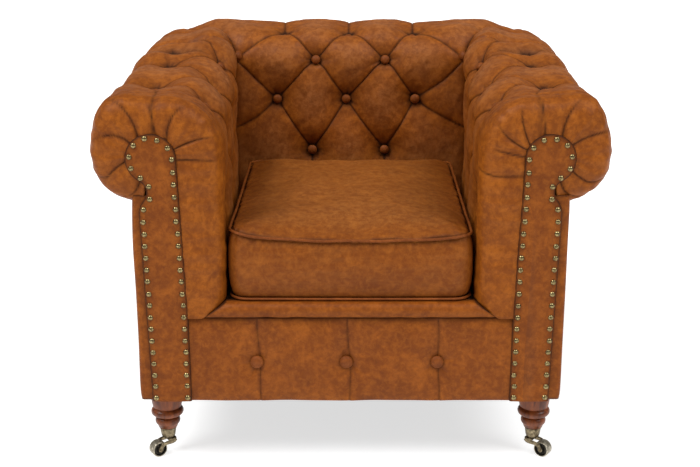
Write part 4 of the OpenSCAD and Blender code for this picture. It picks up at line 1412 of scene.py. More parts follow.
@dataclass
class ArmPadding(Padding):
    """The inside of an arm, its crest and scroll, and the rounded front round the facing."""

    side: Side = Side.RIGHT
    pitch: float = 0.166
    first_y: float = -0.2065
    rows: tuple[float, ...] = (0.165, 0.270, 0.374, 0.503)
    back_rows: tuple[float, ...] = (0.129, 0.236, 0.338, 0.430)
    pleats: tuple[Pleat, ...] = ()
    full_top: float = 0.0150
    full_low: float = 0.0060
    turn_in: float = 0.0885
    turn_deep: float = 0.042
    bulge: float = 0.0075
    turn_cols: int = 30
    mitre_cols: int = 60
    behind: tuple[float, float] = (0.0165, 0.0280)
    lip_drop: float = 0.0312
    lip_turn: float = 0.0437
    board: float = 0.028
    board_gap: float = 0.0003
    mitre_from: float = 0.186
    deepest: float = 0.092
    seam_button: tuple[float, float] = (0.219, 0.335)
    spine_deep: float = 0.0050
    notch: float = 0.0120
    ripple: float = 0.0012
    plain_front: float = 0.062
    front_fade: float = 0.075
    seeds: tuple[int, int] = (53, 31)
    mitre_clear: float = 0.03

    def drawn_back(self, flat: Array, share: Array, s: Array, e: Array) -> Array:
        """Y of the columns once each has gone its share of the way back to the mitre."""
        return flat * (1 - share) + (self.roll.back - self.roll.point(s, e)[0]) * share

    def heights(self, v: Number, y: Number) -> Array:
        """The way over the section at lattice place v, as the rows drift to the back's.

        Args:
            v: Lattice place over it.
            y: Place from front to back.

        Returns:
            The way over the section.
        """
        share = smooth((y - 0.02) / 0.19)
        knots = [-1.0, 0.0, 1.0, 2.0, 3.0, 4.0]
        plain = np.interp(v, knots, [0, *self.rows, self.roll.length])
        rear = np.interp(v, knots, [0, *self.back_rows, self.roll.length])
        return plain * (1 - share) + rear * share

    def lag(self, y: Number) -> Array:
        """How far the crest's folds lie behind the wall's at y."""
        return np.interp(y, (self.first_y, -0.0405, 0.1255, 0.18), (0.0, *self.behind, 0.0))

    def under_edge(self, s: Array, e: Array, d: Array) -> Array:
        """Close to the front the scroll's underside runs on to the board's stem.

        Args:
            s: The way over the section.
            e: How far inside the surface.
            d: Distance behind the board.

        Returns:
            The new way over the section.
        """
        from_x = self.roll.half_w - self.roll.depth + self.turn_in + 0.0555
        side_x = self.roll.half_w - 0.076
        end_x = from_x + (side_x - from_x) * np.clip(d / self.board, 0, 1)
        ratio = np.clip((end_x - self.roll.half_w + self.roll.radius) / np.maximum(self.roll.radius - e, 1e-6), -1, 1)
        turn = math.pi / 2 + np.arccos(ratio)
        moved = self.roll.scroll + (s - self.roll.scroll) * turn / (math.pi / 2 + self.roll.under)
        return np.where((s < self.roll.scroll) | (d >= self.board), s, moved)

    def place(self, s: Number, e: Number, y: Number) -> Array:
        """Points of the right arm at s and y, e inside the surface; the scroll is fuller above and below.

        Args:
            s: The way over the section.
            e: How far inside the surface.
            y: Place from front to back.

        Returns:
            The points, one row each.
        """
        q, z = self.roll.point(s, e)
        turn = self.roll.angle(s)
        full = self.full_top * np.exp(-(((turn - math.radians(122)) / math.radians(25)) ** 2))
        full = full + self.full_low * smooth((turn - math.radians(185)) / math.radians(30))
        full = full * (1 - smooth((y + 0.08) / 0.25)) * np.sqrt(np.clip(1 - e / self.turn_in, 0, 1))
        q, z = q + full * np.cos(turn), z + full * np.sin(turn)
        px, py = self.roll.corner(self.roll.half_w - q + self.roll.spread_out(s, y), y)
        high = self.roll.lift(z, self.roll.climb(y))
        return np.stack([px, py, high - self.roll.sag(px, py, high)], -1)

    def front_profile(self) -> tuple[Array, Array, Array, Array, Array]:
        """The rounded front edge: turn, distance behind the board, inset, and the outward direction.

        Returns:
            Five values for each column.
        """
        a = math.pi / 2 * np.linspace(0, 1, self.turn_cols + 1) ** 1.12
        d = self.turn_deep * (1 - np.cos(a))
        e = self.turn_in * (1 - np.sin(a)) ** 1.5
        d = d - self.bulge * np.sin(np.clip(a / math.radians(62), 0, 1) * math.pi) ** 0.45
        dd, de = np.gradient(d), -np.gradient(e)
        size = np.hypot(dd, de)
        ny, no = -de / size, dd / size
        ny[-1], no[-1] = 0.0, 1.0
        return a, d, e, ny, no

    def pleat_dip(self, a: Array, s: Array, e: Array) -> tuple[Array, Array]:
        """Depth of the front's pleats over the turned grid, and the painted shade along them.

        Args:
            a: Each column's turn, as a column.
            s: The way over the section.
            e: How far inside the surface each column starts.

        Returns:
            The depth and the painted shade mark.
        """
        dip, mark = np.zeros(s.shape), np.zeros(s.shape)
        curve = np.where((s > self.roll.wall) & ((s < self.roll.wall + self.roll.quarter) | (s > self.roll.scroll)),
                         (self.roll.radius - e) / self.roll.radius, 1.0)
        deg = np.degrees(a)
        start = smooth((deg + 1) / 12)
        for pleat in self.pleats:
            aside = np.abs(s - np.interp(deg, pleat.turns, pleat.places)) * curve
            tip = pleat.turns[-1]
            fade = 1 - smooth((deg - 0.45 * tip) / (0.6 * tip))
            dip = np.maximum(dip, pleat.depth * start * fade * np.exp(-((aside / 0.0075) ** 0.9)))
            # painted shade along each pleat's middle
            mark = np.maximum(mark, fade**0.5 * np.exp(-((aside / 0.0018) ** 1.5)))
        return dip, mark

    def buttons(self) -> list[tuple[int, int]]:
        """Lattice places of the arm's own buttons.

        Returns:
            Their places along and over the padding.
        """
        out = []
        for v in range(4):
            for u in range(-1, 8):
                y = self.first_y + u * self.pitch / 2
                end = self.roll.back - self.roll.point(self.heights(v, y), 0.0)[0]
                if (u + v) % 2 and y < end - self.mitre_clear:
                    out.append((u, v))
        return out

    def build(self, finish: Material) -> Object:
        """Makes the arm's padding.

        Args:
            finish: Its material.

        Returns:
            The piece.
        """
        half = self.pitch / 2
        a, d, e_turn, ny, no = self.front_profile()
        turned = self.roll.front + self.board_gap + d
        k0 = math.ceil((turned[-1] + 0.003 - self.first_y) / half * self.fine)
        k1 = math.floor((self.mitre_from - self.first_y) / half * self.fine)
        along = self.first_y + np.arange(k0, k1 + 1) * half / self.fine
        cols = self.mitre_cols + (1 - len(a) - len(along) - self.mitre_cols) % STEP
        rest = len(along) + cols
        y_flat = np.concatenate([turned, along, np.full(cols, along[-1])])[:, None]
        share = np.concatenate([np.zeros(len(a) + len(along)), self.to_mitre(cols)])[:, None]
        inset, side_y, side_o, turn, behind = (
            np.concatenate([first, np.full(rest, then)])[:, None]
            for first, then in ((e_turn, 0.0), (ny, 0.0), (no, 1.0), (a, math.pi / 2), (d, 1.0)))
        v = np.repeat(self.levels()[None], len(y_flat), 0)
        y = y_flat * np.ones(v.shape)
        for _ in range(2):
            s = self.heights(v, y)
            y = self.drawn_back(y_flat, share, s, self.roll.seam(s))
        u = (y - self.first_y) / half
        gap = np.abs(self.roll.back - self.roll.point(s, self.roll.seam(s))[0] - y)
        front = smooth((y - self.roll.front - self.plain_front) / self.front_fade)
        amount = front * smooth(s / 0.05) * smooth((self.roll.length - s) / 0.06)
        places = self.buttons() + [(u0, 3) for u0 in self.over if u0 % 2]
        spots = [(self.first_y + u0 * half, self.heights(v0, self.first_y + u0 * half)) for u0, v0 in places]
        skin = self.dress(y, s, u, v, amount, np.array(spots + [self.seam_button]), self.seeds[self.side is Side.RIGHT])
        ahead = self.first_y - y
        spine = np.abs(s - np.interp(ahead, (0.0, 0.17), (self.rows[3], float(self.pleats[0].places[-1]))))
        run = smooth(ahead / 0.008) * (1 - 0.25 * smooth((ahead - 0.09) / 0.07))
        # painted shade: a dark line along the spine below the crest
        skin.crease = np.maximum(skin.crease, 0.9 * run * np.exp(-((spine / 0.0022) ** 1.5)))
        groove = self.spine_deep * run * np.exp(-((spine / 0.010) ** 0.9))
        notch = self.notch * np.exp(-((ahead - 0.045) / 0.050) ** 2 - ((s - self.rows[3]) / 0.045) ** 2)
        pleat, mark = self.pleat_dip(turn, s, inset)
        spread_in = smooth(turn / math.radians(14))
        dip = (skin.dip + groove + notch) * spread_in + pleat
        dip -= self.ripple * (1 - np.abs(np.sin(s * 95))) * (turn < math.pi / 2)
        mitre = np.exp(-gap / 0.011) * (share > 0)
        dip = dip * (1 - mitre) + self.roll.seam(s) * mitre
        e = inset + dip * side_o
        s_edge = self.under_edge(s, inset, behind)
        y_here = self.drawn_back(y_flat, share, s, e) - dip * side_y
        moved = self.lag(y_here) * smooth((v - 1.6) / 1.0)
        outer = self.place(s_edge, e, y_here + moved)
        drop = self.lip_drop * np.clip(inset / self.lip_turn, 0, 1) * np.clip(1 - s / 0.041, 0, 1)
        outer[..., 2] -= drop
        thick = self.thick - 0.006 * (1 - smooth((y_flat + 0.38) / 0.05))
        thick_o, thick_y = ((thick * part)[::STEP] for part in (side_o, side_y))
        e_in = np.maximum(inset[::STEP] + thick_o, e[COARSE] + self.hide * side_o[::STEP])
        y_in = self.drawn_back(y_flat[::STEP], share[::STEP], s[COARSE], e_in) - thick_y
        inner = self.place(s_edge[COARSE], np.minimum(e_in, self.deepest), y_in + moved[COARSE])
        inner[..., 2] -= drop[COARSE]
        # painted shade: dark lines where the rounded front meets the facing, along the pleats and at the mitre
        rim = 0.9 * np.exp(-((inset - self.turn_in) / 0.004) ** 2) * np.ones(s.shape)
        crease = np.maximum.reduce([skin.crease * spread_in, 0.95 * mark, rim,
                                    0.8 * np.exp(-gap / 0.004) * (share > 0)])
        shape = Shape()
        shape.wrap(outer, inner, STEP, self.side, self.rising(u, v), crease=crease, crown=skin.crown * spread_in)
        return shape.build(f"arm_padding_{self.side.word}", finish)

    def button_spots(self) -> tuple[Array, Array]:
        """Middles and aims of the arm's buttons.

        Returns:
            The middles and the aims, one row each.
        """
        points, aims = [], []
        for u, v in self.buttons():
            y = self.first_y + u * self.pitch / 2
            s = self.heights(v, y)
            turn = float(self.roll.angle(s))
            y = y + self.lag(y) * smooth((v - 1.6) / 1.0)
            points.append(self.place(s, self.sunk + self.crest_sunk * (v == 3), y))
            aims.append((-math.cos(turn), 0.0, math.sin(turn)))
        flip = np.array([self.side.value, 1, 1])
        return np.array(points) * flip, np.array(aims) * flip


# ---------------------------------------------------------------- facings, roll, apron and covers


def way_along(line: Array) -> Array:
    """The way along a line from its start to each of its points."""
    return np.concatenate([[0], np.cumsum(np.linalg.norm(np.diff(line, axis=0), axis=1))])


@dataclass
class Facing:
    """The leather-covered board on an arm's front, with its row of nails."""

    side: Side
    head: tuple[float, float] = (0.3725, 0.638)
    head_r: float = 0.048
    neck_r: float = 0.024
    neck_turn: float = 61.7
    shoulder_r: float = 0.045
    hip_turn: float = 40.1
    foot_in: float = 0.3120
    foot_w: float = 0.077
    foot_z: float = 0.1498
    back_y: float = -0.4395
    front_y: float = -0.4465
    nail_in: float = 0.008
    nail_gap: float = 0.0235
    nail_r: float = 0.0055
    nail_h: float = 0.0040
    pull_in: float = 0.0006
    fine: int = 4

    def outline(self, e: float) -> Array:
        """The facing's outline e inside its edge, from the inner foot over the head to the outer foot.

        Args:
            e: How far inside the edge.

        Returns:
            X and Z of its points.
        """
        cx, cz = self.head
        fine = self.fine

        def arc(x: float, z: float, r: float, a0: float, a1: float, n: int) -> list[tuple[float, float]]:
            """Points of an arc, with turns in degrees."""
            turns = [math.radians(a0 + (a1 - a0) * i / n) for i in range(n + 1)]
            return [(x + r * math.cos(t), z + r * math.sin(t)) for t in turns]

        na, ha = math.radians(self.neck_turn), math.radians(self.hip_turn)
        nx = cx + (self.head_r + self.neck_r) * math.cos(na)
        nz = cz - (self.head_r + self.neck_r) * math.sin(na)
        hx = nx - (self.neck_r + self.shoulder_r) * math.cos(ha)
        hz = nz - (self.neck_r + self.shoulder_r) * math.sin(ha)
        rise = np.linspace(self.foot_z, cz, 24 * fine)[:-1]
        up = (rise - self.foot_z) / (cz - self.foot_z)
        lean = self.foot_in + e + (cx - self.head_r - self.foot_in) * smooth(up) * up
        points = list(zip(lean, rise)) + arc(cx, cz, self.head_r - e, 180, -self.neck_turn, 20 * fine)
        points += arc(nx, nz, self.neck_r + e, 180 - self.neck_turn, 180 + self.hip_turn, 8 * fine)[1:]
        points += arc(hx, hz, self.shoulder_r - e, self.hip_turn, 0, 5 * fine)[1:]
        sx, sz = points[-1]
        foot = self.foot_in + self.foot_w - e
        points += [(sx + (foot - sx) * (sz - z) / (sz - self.foot_z), z)
                   for z in np.linspace(sz, self.foot_z, 22 * fine)[1:]]
        return np.array(points, float)

    def panel(self, finish: Material) -> Object:
        """Makes the covered board with a soft edge that pulls in under the nails.

        Args:
            finish: Its material.

        Returns:
            The piece.
        """
        steps = [(0.0, self.back_y), (0.0, self.front_y + 0.0036), (0.0006, self.front_y + 0.0019),
                 (0.0021, self.front_y + 0.0006), (0.0045, self.front_y - 0.0001), (0.008, self.front_y + 0.0001),
                 (0.0115, self.front_y - 0.0003), (0.018, self.front_y - 0.0009), (0.026, self.front_y - 0.0013)]
        base = self.outline(0.0)
        way = way_along(base)
        wave = np.cos(2 * np.pi * way / self.nail_gap)
        rings = []
        for inset, y in steps:
            ring = self.outline(inset)
            depth = y + self.pull_in * (1 - wave) * 0.5 * math.exp(-((inset - 0.005) / 0.004) ** 2)
            rings.append(np.stack([ring[:, 0], depth, ring[:, 1]], -1))
        n, m = len(base), len(rings)
        points = np.concatenate(rings)
        faces = [(r * n + k, r * n + k + 1, (r + 1) * n + k + 1, (r + 1) * n + k)
                 for r in range(m - 1) for k in range(n - 1)]
        faces.append(tuple((m - 1) * n + k for k in range(n)))
        faces.append(tuple(range(n))[::-1])
        faces.append(tuple(r * n for r in range(m)) + tuple(r * n + n - 1 for r in range(m - 1, -1, -1)))
        # painted shadow: the edge rings darken, standing in for the shadow of the gap round the board
        crease = np.concatenate([np.full(n, c) for c in (0.95, 0.95, 0.9, 0.7, 0.25, 0.12, 0.0, 0.0, 0.0)])
        return solid(f"facing_panel_{self.side.word}", mirrored(points, self.side), faces, finish, crease=crease)

    def nails(self, recipe: Recipe, finish: Material) -> Object:
        """Sets the domed nails along the facing's edge.

        Args:
            recipe: The recipe of one of them.
            finish: Its material.

        Returns:
            The piece.
        """
        row = self.outline(self.nail_in)
        way = way_along(row)
        count = int((way[-1] - 2 * self.nail_in) // self.nail_gap) + 1
        spots = np.linspace(self.nail_in, way[-1] - self.nail_in, count)
        x, z = np.interp(spots, way, row[:, 0]), np.interp(spots, way, row[:, 1])
        rng = np.random.default_rng(5 + self.side.value)
        points = np.stack([x + rng.normal(0, 0.0004, count), np.full(count, self.front_y + 0.0003),
                           z + rng.normal(0, 0.0005, count)], -1)
        aims = np.tile([0.0, -1.0, 0.0], (count, 1)) + rng.normal(0, 0.05, (count, 3))
        made = aimed_points(f"facing_nails_{self.side.word}", mirrored(points, self.side), aims)
        return bake(made, recipe, Radius=self.nail_r, Height=self.nail_h, Segments=18, Uneven=0.03, Finish=finish)


@dataclass
class FrontRoll:
    """The narrow padded lip under the cushion, mitred into the arms' fronts."""

    low: float = 0.3220
    high: float = 0.3522
    low_half: float = 0.2852
    high_half: float = 0.2415
    front: float = -0.4435
    rear: float = -0.4165
    bulge: float = 0.0035

    def build(self, finish: Material) -> Object:
        """Makes the lip.

        Args:
            finish: Its material.

        Returns:
            The piece.
        """
        z0, z1 = self.low, self.high
        profile: list[tuple[float, float]] = [(self.rear, z0 + 0.001), (self.front + 0.010, z0)]
        for t in np.linspace(0, 1, 15):
            turn = math.radians(-70 + 155 * t)
            y = self.front + 0.0130 - (0.0130 + self.bulge) * math.cos(turn) ** 0.8
            z = (z0 + z1) / 2 + 0.0158 * math.sin(turn)
            profile.append((y, min(z, z1)))
        profile += [(self.front + 0.020, z1), (self.rear, z1)]
        line = np.array(profile)
        n, m = 180, len(profile)
        t = np.linspace(-1, 1, n)
        half = np.interp(line[:, 1], [z0, z1], [self.low_half, self.high_half])
        x = t[:, None] * half[None]
        wave = wander(x, np.zeros_like(x), 71, 0.0008, (0.03, 0.12))
        y = line[None, :, 0] + wave * (line[None, :, 0] < self.front + 0.01)
        ends = 0.0035 * np.exp(-((1 - np.abs(t)) / 0.02))[:, None] * (line[None, :, 0] < self.front + 0.012)
        points = np.stack([x, y + ends, np.repeat(line[None, :, 1], n, 0)], -1).reshape(-1, 3)
        # painted shade: dark along the lip's underside, a little along its top behind the front, and at its ends
        # against the arms
        crease = np.repeat(np.where(np.arange(m) < 4, 0.75, np.where(np.arange(m) > m - 3, 0.4, 0.0))[None], n, 0)
        crease = np.maximum(crease, 0.9 * np.exp(-((1 - np.abs(t)) / 0.008))[:, None])
        return solid("front_roll", points, ring_faces(n, m), finish, crease=crease.ravel())


@dataclass
class Apron:
    """The padded front border with its three pleats and buttons."""

    half: float = 0.3222
    low: float = 0.1472
    high: float = 0.3218
    face: float = -0.4353
    back: float = -0.4302
    pleats: tuple[float, ...] = (-0.1785, -0.003, 0.172)
    button_off: tuple[float, ...] = (-0.0045, -0.0055, -0.003)
    button_z: float = 0.229
    puff: float = 0.0066
    pleat_deep: float = 0.0048
    pleat_lip: float = 0.0016
    wrinkle: float = 0.0011
    deepest: float = -0.0035
    lean: float = 0.030

    def build(self, finish: Material) -> Object:
        """Makes the apron.

        Args:
            finish: Its material.

        Returns:
            The piece.
        """
        x1, z1 = np.linspace(-self.half, self.half, 289), np.linspace(self.low, self.high, 65)
        x, z = np.meshgrid(x1, z1, indexing="ij")
        tilt = self.lean * (self.button_z - z)
        off = [x - p - tilt - wander(np.zeros_like(z), z, 13 + i, 0.0010) for i, p in enumerate(self.pleats)]
        near = np.min(np.abs(off), 0)
        edge = np.minimum(z - self.low, self.high - z)
        rise = self.puff * (1 - np.exp(-edge / 0.016)) * (1 - np.exp(-((near / 0.017) ** 0.95)))
        out = rise - self.pleat_deep * 0.25 * np.exp(-near / 0.004)
        for d in off:
            out += self.pleat_lip * np.exp(-np.abs(d) / 0.010) * (d > 0)
        # painted shade: dark lines in the pleats, rings round the buttons and a line along the top seam
        mark = 0.60 * np.exp(-((near / 0.0020) ** 1.5))
        for i, p in enumerate(np.add(self.pleats, self.button_off)):
            far = np.hypot(x - p, z - self.button_z)
            out -= self.puff * 0.75 * np.exp(-((far / 0.024) ** 1.6))
            mark = np.maximum(mark, 0.45 * np.exp(-((far / 0.0160) ** 6)))
            rng = np.random.default_rng(90 + i)
            for turn in rng.uniform(0, 2 * np.pi, 7):
                ahead = (x - p) * math.cos(turn) + (z - self.button_z) * math.sin(turn)
                aside = -(x - p) * math.sin(turn) + (z - self.button_z) * math.cos(turn)
                run = smooth((ahead - 0.010) / 0.006) * (1 - smooth((ahead - 0.018) / 0.028))
                out -= self.wrinkle * run * np.exp(-((aside / 0.0028) ** 2))
        out += wander(x, z, 17, 0.0008)
        outer = np.stack([x, self.face - np.maximum(out, self.deepest), z], -1)
        inner = np.stack([x, np.full(x.shape, self.back), z], -1)[COARSE]
        shape = Shape()
        shape.wrap(outer, inner, crease=np.maximum(mark, 0.8 * np.exp(-np.clip(self.high - z, 0, 1) / 0.004)))
        return shape.build("front_apron", finish)

    def buttons(self, recipe: Recipe, finish: Material) -> Object:
        """Sets the three larger buttons.

        Args:
            recipe: The recipe of one of them.
            finish: Its material.

        Returns:
            The piece.
        """
        points = np.array([(p, self.face - 0.0003, self.button_z) for p in np.add(self.pleats, self.button_off)])
        made = aimed_points("apron_buttons", points, np.tile([0.0, -1.0, 0.0], (3, 1)))
        return bake(made, recipe, Radius=0.0129, Height=0.0072, Segments=36, Uneven=0.01, Finish=finish)


@dataclass
class Covers:
    """The plain leather of the outer sides and the back, drawn over thin wadding."""

    roll: Roll = field(default_factory=Roll)
    side_x: float = 0.4140
    stem: float = 0.3810
    rear: float = 0.3740
    low: float = 0.1500
    thick: float = 0.0046
    corner: float = 0.009
    under_scroll: float = 0.5545
    soft_edge: float = 0.0026

    def top(self, y: Array) -> Array:
        """Height of the covers' top edge, under the scroll."""
        return self.roll.lift(np.full(np.shape(y), self.under_scroll), self.roll.climb(y)) + 0.0125

    def side(self, side: Side, finish: Material) -> Object:
        """Makes the cover of one side, with its return on the front.

        Args:
            side: The side of the chair.
            finish: Its material.

        Returns:
            The piece.
        """
        arc = [(self.side_x - self.corner + self.corner * math.sin(t), self.roll.front + self.corner
                - self.corner * math.cos(t)) for t in np.linspace(0, math.pi / 2, 9)]
        run = [(float(x), self.roll.front) for x in np.linspace(self.stem, self.side_x - self.corner, 9)[:-1]]
        run += arc + [(self.side_x, float(y)) for y in np.linspace(self.roll.front + self.corner, self.rear, 200)[1:]]
        while (len(run) - 1) % STEP:
            run.append((self.side_x, run[-1][1] + 1e-5))
        plan = np.array(run)
        ahead = np.gradient(plan, axis=0)
        ahead /= np.linalg.norm(ahead, axis=1, keepdims=True)
        out = np.stack([ahead[:, 1], -ahead[:, 0]], -1)
        rows = 97
        t = np.linspace(0, 1, rows)
        high = self.top(np.minimum(plan[:, 1], self.rear))
        z = self.low + t[None] * (high - self.low)[:, None]
        y = np.repeat(plan[:, 1:2], rows, 1)
        edge = np.minimum(z - self.low, high[:, None] - z)
        rear = np.minimum(self.rear - y + 0.004, 1.0)
        soft = (1 - np.exp(-edge / 0.012)) * (1 - np.exp(-rear / 0.014))
        way = np.repeat(way_along(plan)[:, None], rows, 1)
        move = -self.soft_edge * (1 - soft) + wander(way, z, 23 + side.value, 0.0007, (0.12, 0.4))
        outer = np.stack([plan[:, :1] + out[:, :1] * move, plan[:, 1:] + out[:, 1:] * move, z], -1)
        deep = out * self.thick
        inner = np.stack([plan[:, :1] - deep[:, :1] + 0 * z, plan[:, 1:] - deep[:, 1:] + 0 * z, z], -1)[COARSE]
        shape = Shape()
        # painted shade: darker along the edges and at the rear end
        shape.wrap(outer, inner, side=side, crease=0.8 * np.maximum(np.exp(-edge / 0.003), np.exp(-rear / 0.004)))
        return shape.build(f"side_cover_{side.word}", finish)

    def back(self, finish: Material) -> Object:
        """Makes the cover of the back.

        Args:
            finish: Its material.

        Returns:
            The piece.
        """
        half, rows, n = self.side_x - 0.0056, 97, 161
        x1 = np.linspace(-half, half, n)
        high = float(self.roll.lift(self.under_scroll, self.roll.rise)) - 0.0015
        z1 = np.linspace(self.low, high, rows)
        x, z = np.meshgrid(x1, z1, indexing="ij")
        edge = np.minimum(np.minimum(z - self.low, high - z), half - np.abs(x))
        move = -0.0028 * np.exp(-edge / 0.011) + wander(x, z, 29, 0.0008, (0.12, 0.4))
        outer = np.stack([x, self.rear + move, z], -1)
        inner = np.stack([x, np.full(x.shape, self.rear - self.thick), z], -1)[COARSE]
        shape = Shape()
        # painted shade: darker along the edges
        shape.wrap(outer, inner, crease=0.8 * np.exp(-edge / 0.003))
        return shape.build("back_cover", finish)


# ---------------------------------------------------------------- the loose cushion


@dataclass
class Cushion:
    """The loose seat cushion: a crowned case with piped seams, a filling and a zip."""

    half_w: float = 0.2400
    front: float = -0.4335
    rear: float = 0.191
    base: float = 0.3523
    boxing: float = 0.122
    crown: float = 0.032
    corner: float = 0.042
    pipe: float = 0.0028
    seam_in: float = 0.0095
    voxel: float = 0.006
    cap: float = 0.010
    frames: int = 20
    seam_up: float = 0.004
    leather: float = 0.0012
    slack: float = 0.006
    core_in: float = 0.0068
    corner_lift: tuple[float, float] = (0.0135, 0.0065)
    middle_drop: float = 0.0045
    pucker: float = 0.0010
    seam_sink: float = 0.0015

    @property
    def mid_y(self) -> float:
        """The cushion's middle from front to back."""
        return (self.front + self.rear) / 2

    @property
    def seams(self) -> tuple[float, float]:
        """Heights of the lower and the upper seam."""
        return self.base + self.seam_up, self.base + self.seam_up + self.boxing

    def ring(self, e: float, per_side: int = 40, per_corner: int = 8) -> Array:
        """The cushion's outline in plan, e inside its edge.

        Args:
            e: How far inside the edge.
            per_side: Steps along each side.
            per_corner: Steps round each corner.

        Returns:
            X and Y of its points.
        """
        r = max(0.004, self.corner - e)
        x, y = self.half_w - e - r, (self.rear - self.front) / 2 - e - r
        out: list[tuple[float, float]] = []
        for cx, cy, a in ((x, y, 0), (-x, y, 90), (-x, -y, 180), (x, -y, 270)):
            turns = np.radians(a + 90 * np.arange(per_corner + 1) / per_corner)
            arc = [(cx + r * math.cos(t), cy + r * math.sin(t)) for t in turns]
            out += arc
            nx, ny = {0: (-x, y), 90: (-x, -y), 180: (x, -y), 270: (x, y)}[a]
            b = math.radians(a + 90)
            end = (nx + r * math.cos(b), ny + r * math.sin(b))
            out += [(arc[-1][0] + (end[0] - arc[-1][0]) * k / per_side,
                     arc[-1][1] + (end[1] - arc[-1][1]) * k / per_side) for k in range(1, per_side)]
        return np.array(out) + [0, self.mid_y]

    def form(self, e: float) -> tuple[Array, Faces]:
        """The cushion's closed form before it is filled, e inside its surface.

        Args:
            e: How far inside the surface.

        Returns:
            Its points and faces.
        """
        up = self.crown - self.slack
        low, high = self.seams
        levels = [(0.125, self.base + e), (0.062, self.base + e), (self.seam_in + 0.008 + e, self.base + e),
                  (self.seam_in + e, low + e * 0.6)]
        levels += [(self.seam_in - 0.0090 * (1 - abs(2 * t - 1) ** 3.5) + e, low + self.boxing * t)
                   for t in (0.08, 0.2, 0.35, 0.5, 0.65, 0.8, 0.92)]
        levels += [(self.seam_in + e, high - e * 0.6), (0.014 + e, high + up * 0.26 - e),
                   (0.024 + e, high + up * 0.44 - e), (0.042 + e, high + up * 0.63 - e),
                   (0.062 + e, high + up * 0.78 - e), (0.092 + e, high + up * 0.90 - e),
                   (0.130 + e, high + up * 0.97 - e), (0.170 + e, high + up - e)]
        rings = [np.concatenate([self.ring(i), np.full((len(self.ring(i)), 1), z)], 1) for i, z in levels]
        n, m = len(rings[0]), len(rings)
        faces = ring_faces(m, n, capped=False)
        points = np.concatenate(rings + [[[0, self.mid_y, levels[0][1]]], [[0, self.mid_y, levels[-1][1] + 0.0005]]])
        faces += [(k, (k + 1) % n, m * n) for k in range(n)]
        faces += [((m - 1) * n + (k + 1) % n, (m - 1) * n + k, m * n + 1) for k in range(n)]
        return points, faces

    def settle_shape(self, p: Array) -> Array:
        """Moves points as a used cushion lies: corners up, the front edge a little down in the middle.

        Args:
            p: The points, one row each.

        Returns:
            The moved points.
        """
        p = p.copy()
        share = np.clip((p[:, 2] - self.base) / (self.boxing + self.seam_up), 0, 1)
        front = 1 - 0.6 * smooth((p[:, 1] - self.front) / 0.25)
        side = np.clip(np.abs(p[:, 0]) / self.half_w, 0, 1) ** 2.6
        lift = np.where(p[:, 0] < 0, *self.corner_lift) * side - self.middle_drop * (1 - side)
        p[:, 2] += lift * share * front
        return p

    def cover(self, finish: Material) -> Object:
        """Makes the filled leather case.

        Args:
            finish: Its material.

        Returns:
            The piece.
        """
        made = solid("seat_cushion", *self.form(self.leather), finish)
        remesh = made.modifiers.new("even", "REMESH")
        remesh.mode, remesh.voxel_size = "VOXEL", self.voxel
        rest = read_points(freeze(made))
        self.inflate(made, rest)
        live = made.modifiers.new("even", "SUBSURF")
        live.levels = live.render_levels = 1
        mesh = freeze(made)
        mesh.materials.clear()
        mesh.materials.append(finish)
        mesh.name = "seat_cushion"
        self.finish_seams(mesh)
        mesh.shade_smooth()
        return made

    def inflate(self, made: Object, rest: Array) -> None:
        """Fills the case under pressure, held at its seams, and keeps the result.

        Args:
            made: The case.
            rest: Its points before it is filled.
        """
        low, high = self.seams
        out = self.edge_depth(rest)
        pins = made.vertex_groups.new(name="seams")
        held = ((np.abs(rest[:, 2] - low) < 0.006) | (np.abs(rest[:, 2] - high) < 0.006)) & (out < 0.016)
        pins.add([int(i) for i in np.nonzero(held)[0]], 1.0, "REPLACE")
        pins.add([int(i) for i in np.nonzero(rest[:, 2] < self.base + 0.003)[0]], 1.0, "REPLACE")
        cloth = made.modifiers.new("cloth", "CLOTH")
        for name, value in {"vertex_group_mass": "seams", "quality": 5, "mass": 0.4, "tension_stiffness": 28,
                            "compression_stiffness": 18, "shear_stiffness": 8, "bending_stiffness": 0.6,
                            "use_pressure": True, "uniform_pressure_force": 4.0}.items():
            setattr(cloth.settings, name, value)
        cloth.settings.effector_weights.gravity = 0
        cloth.collision_settings.use_collision = False
        scene = bpy.context.scene
        for frame_no in range(1, self.frames + 1):
            scene.frame_set(frame_no)
        deps = bpy.context.evaluated_depsgraph_get()
        moved = read_points(made.evaluated_get(deps).data)
        step = moved - rest
        size = np.linalg.norm(step, axis=1, keepdims=True)
        moved = rest + step * np.minimum(1, self.cap / np.maximum(size, 1e-9))
        moved[:, 2] = np.maximum(moved[:, 2], self.base)
        made.modifiers.clear()
        scene.frame_set(1)
        write_points(made.data, moved)

    def edge_depth(self, p: Array) -> Array:
        """How far inside the cushion's plan outline the points lie.

        Args:
            p: The points, one row each.

        Returns:
            The depths.
        """
        x = np.abs(p[:, 0]) - (self.half_w - self.corner)
        y = np.abs(p[:, 1] - self.mid_y) - ((self.rear - self.front) / 2 - self.corner)
        outside = np.hypot(np.maximum(x, 0), np.maximum(y, 0)) + np.minimum(np.maximum(x, y), 0)
        return self.corner - outside

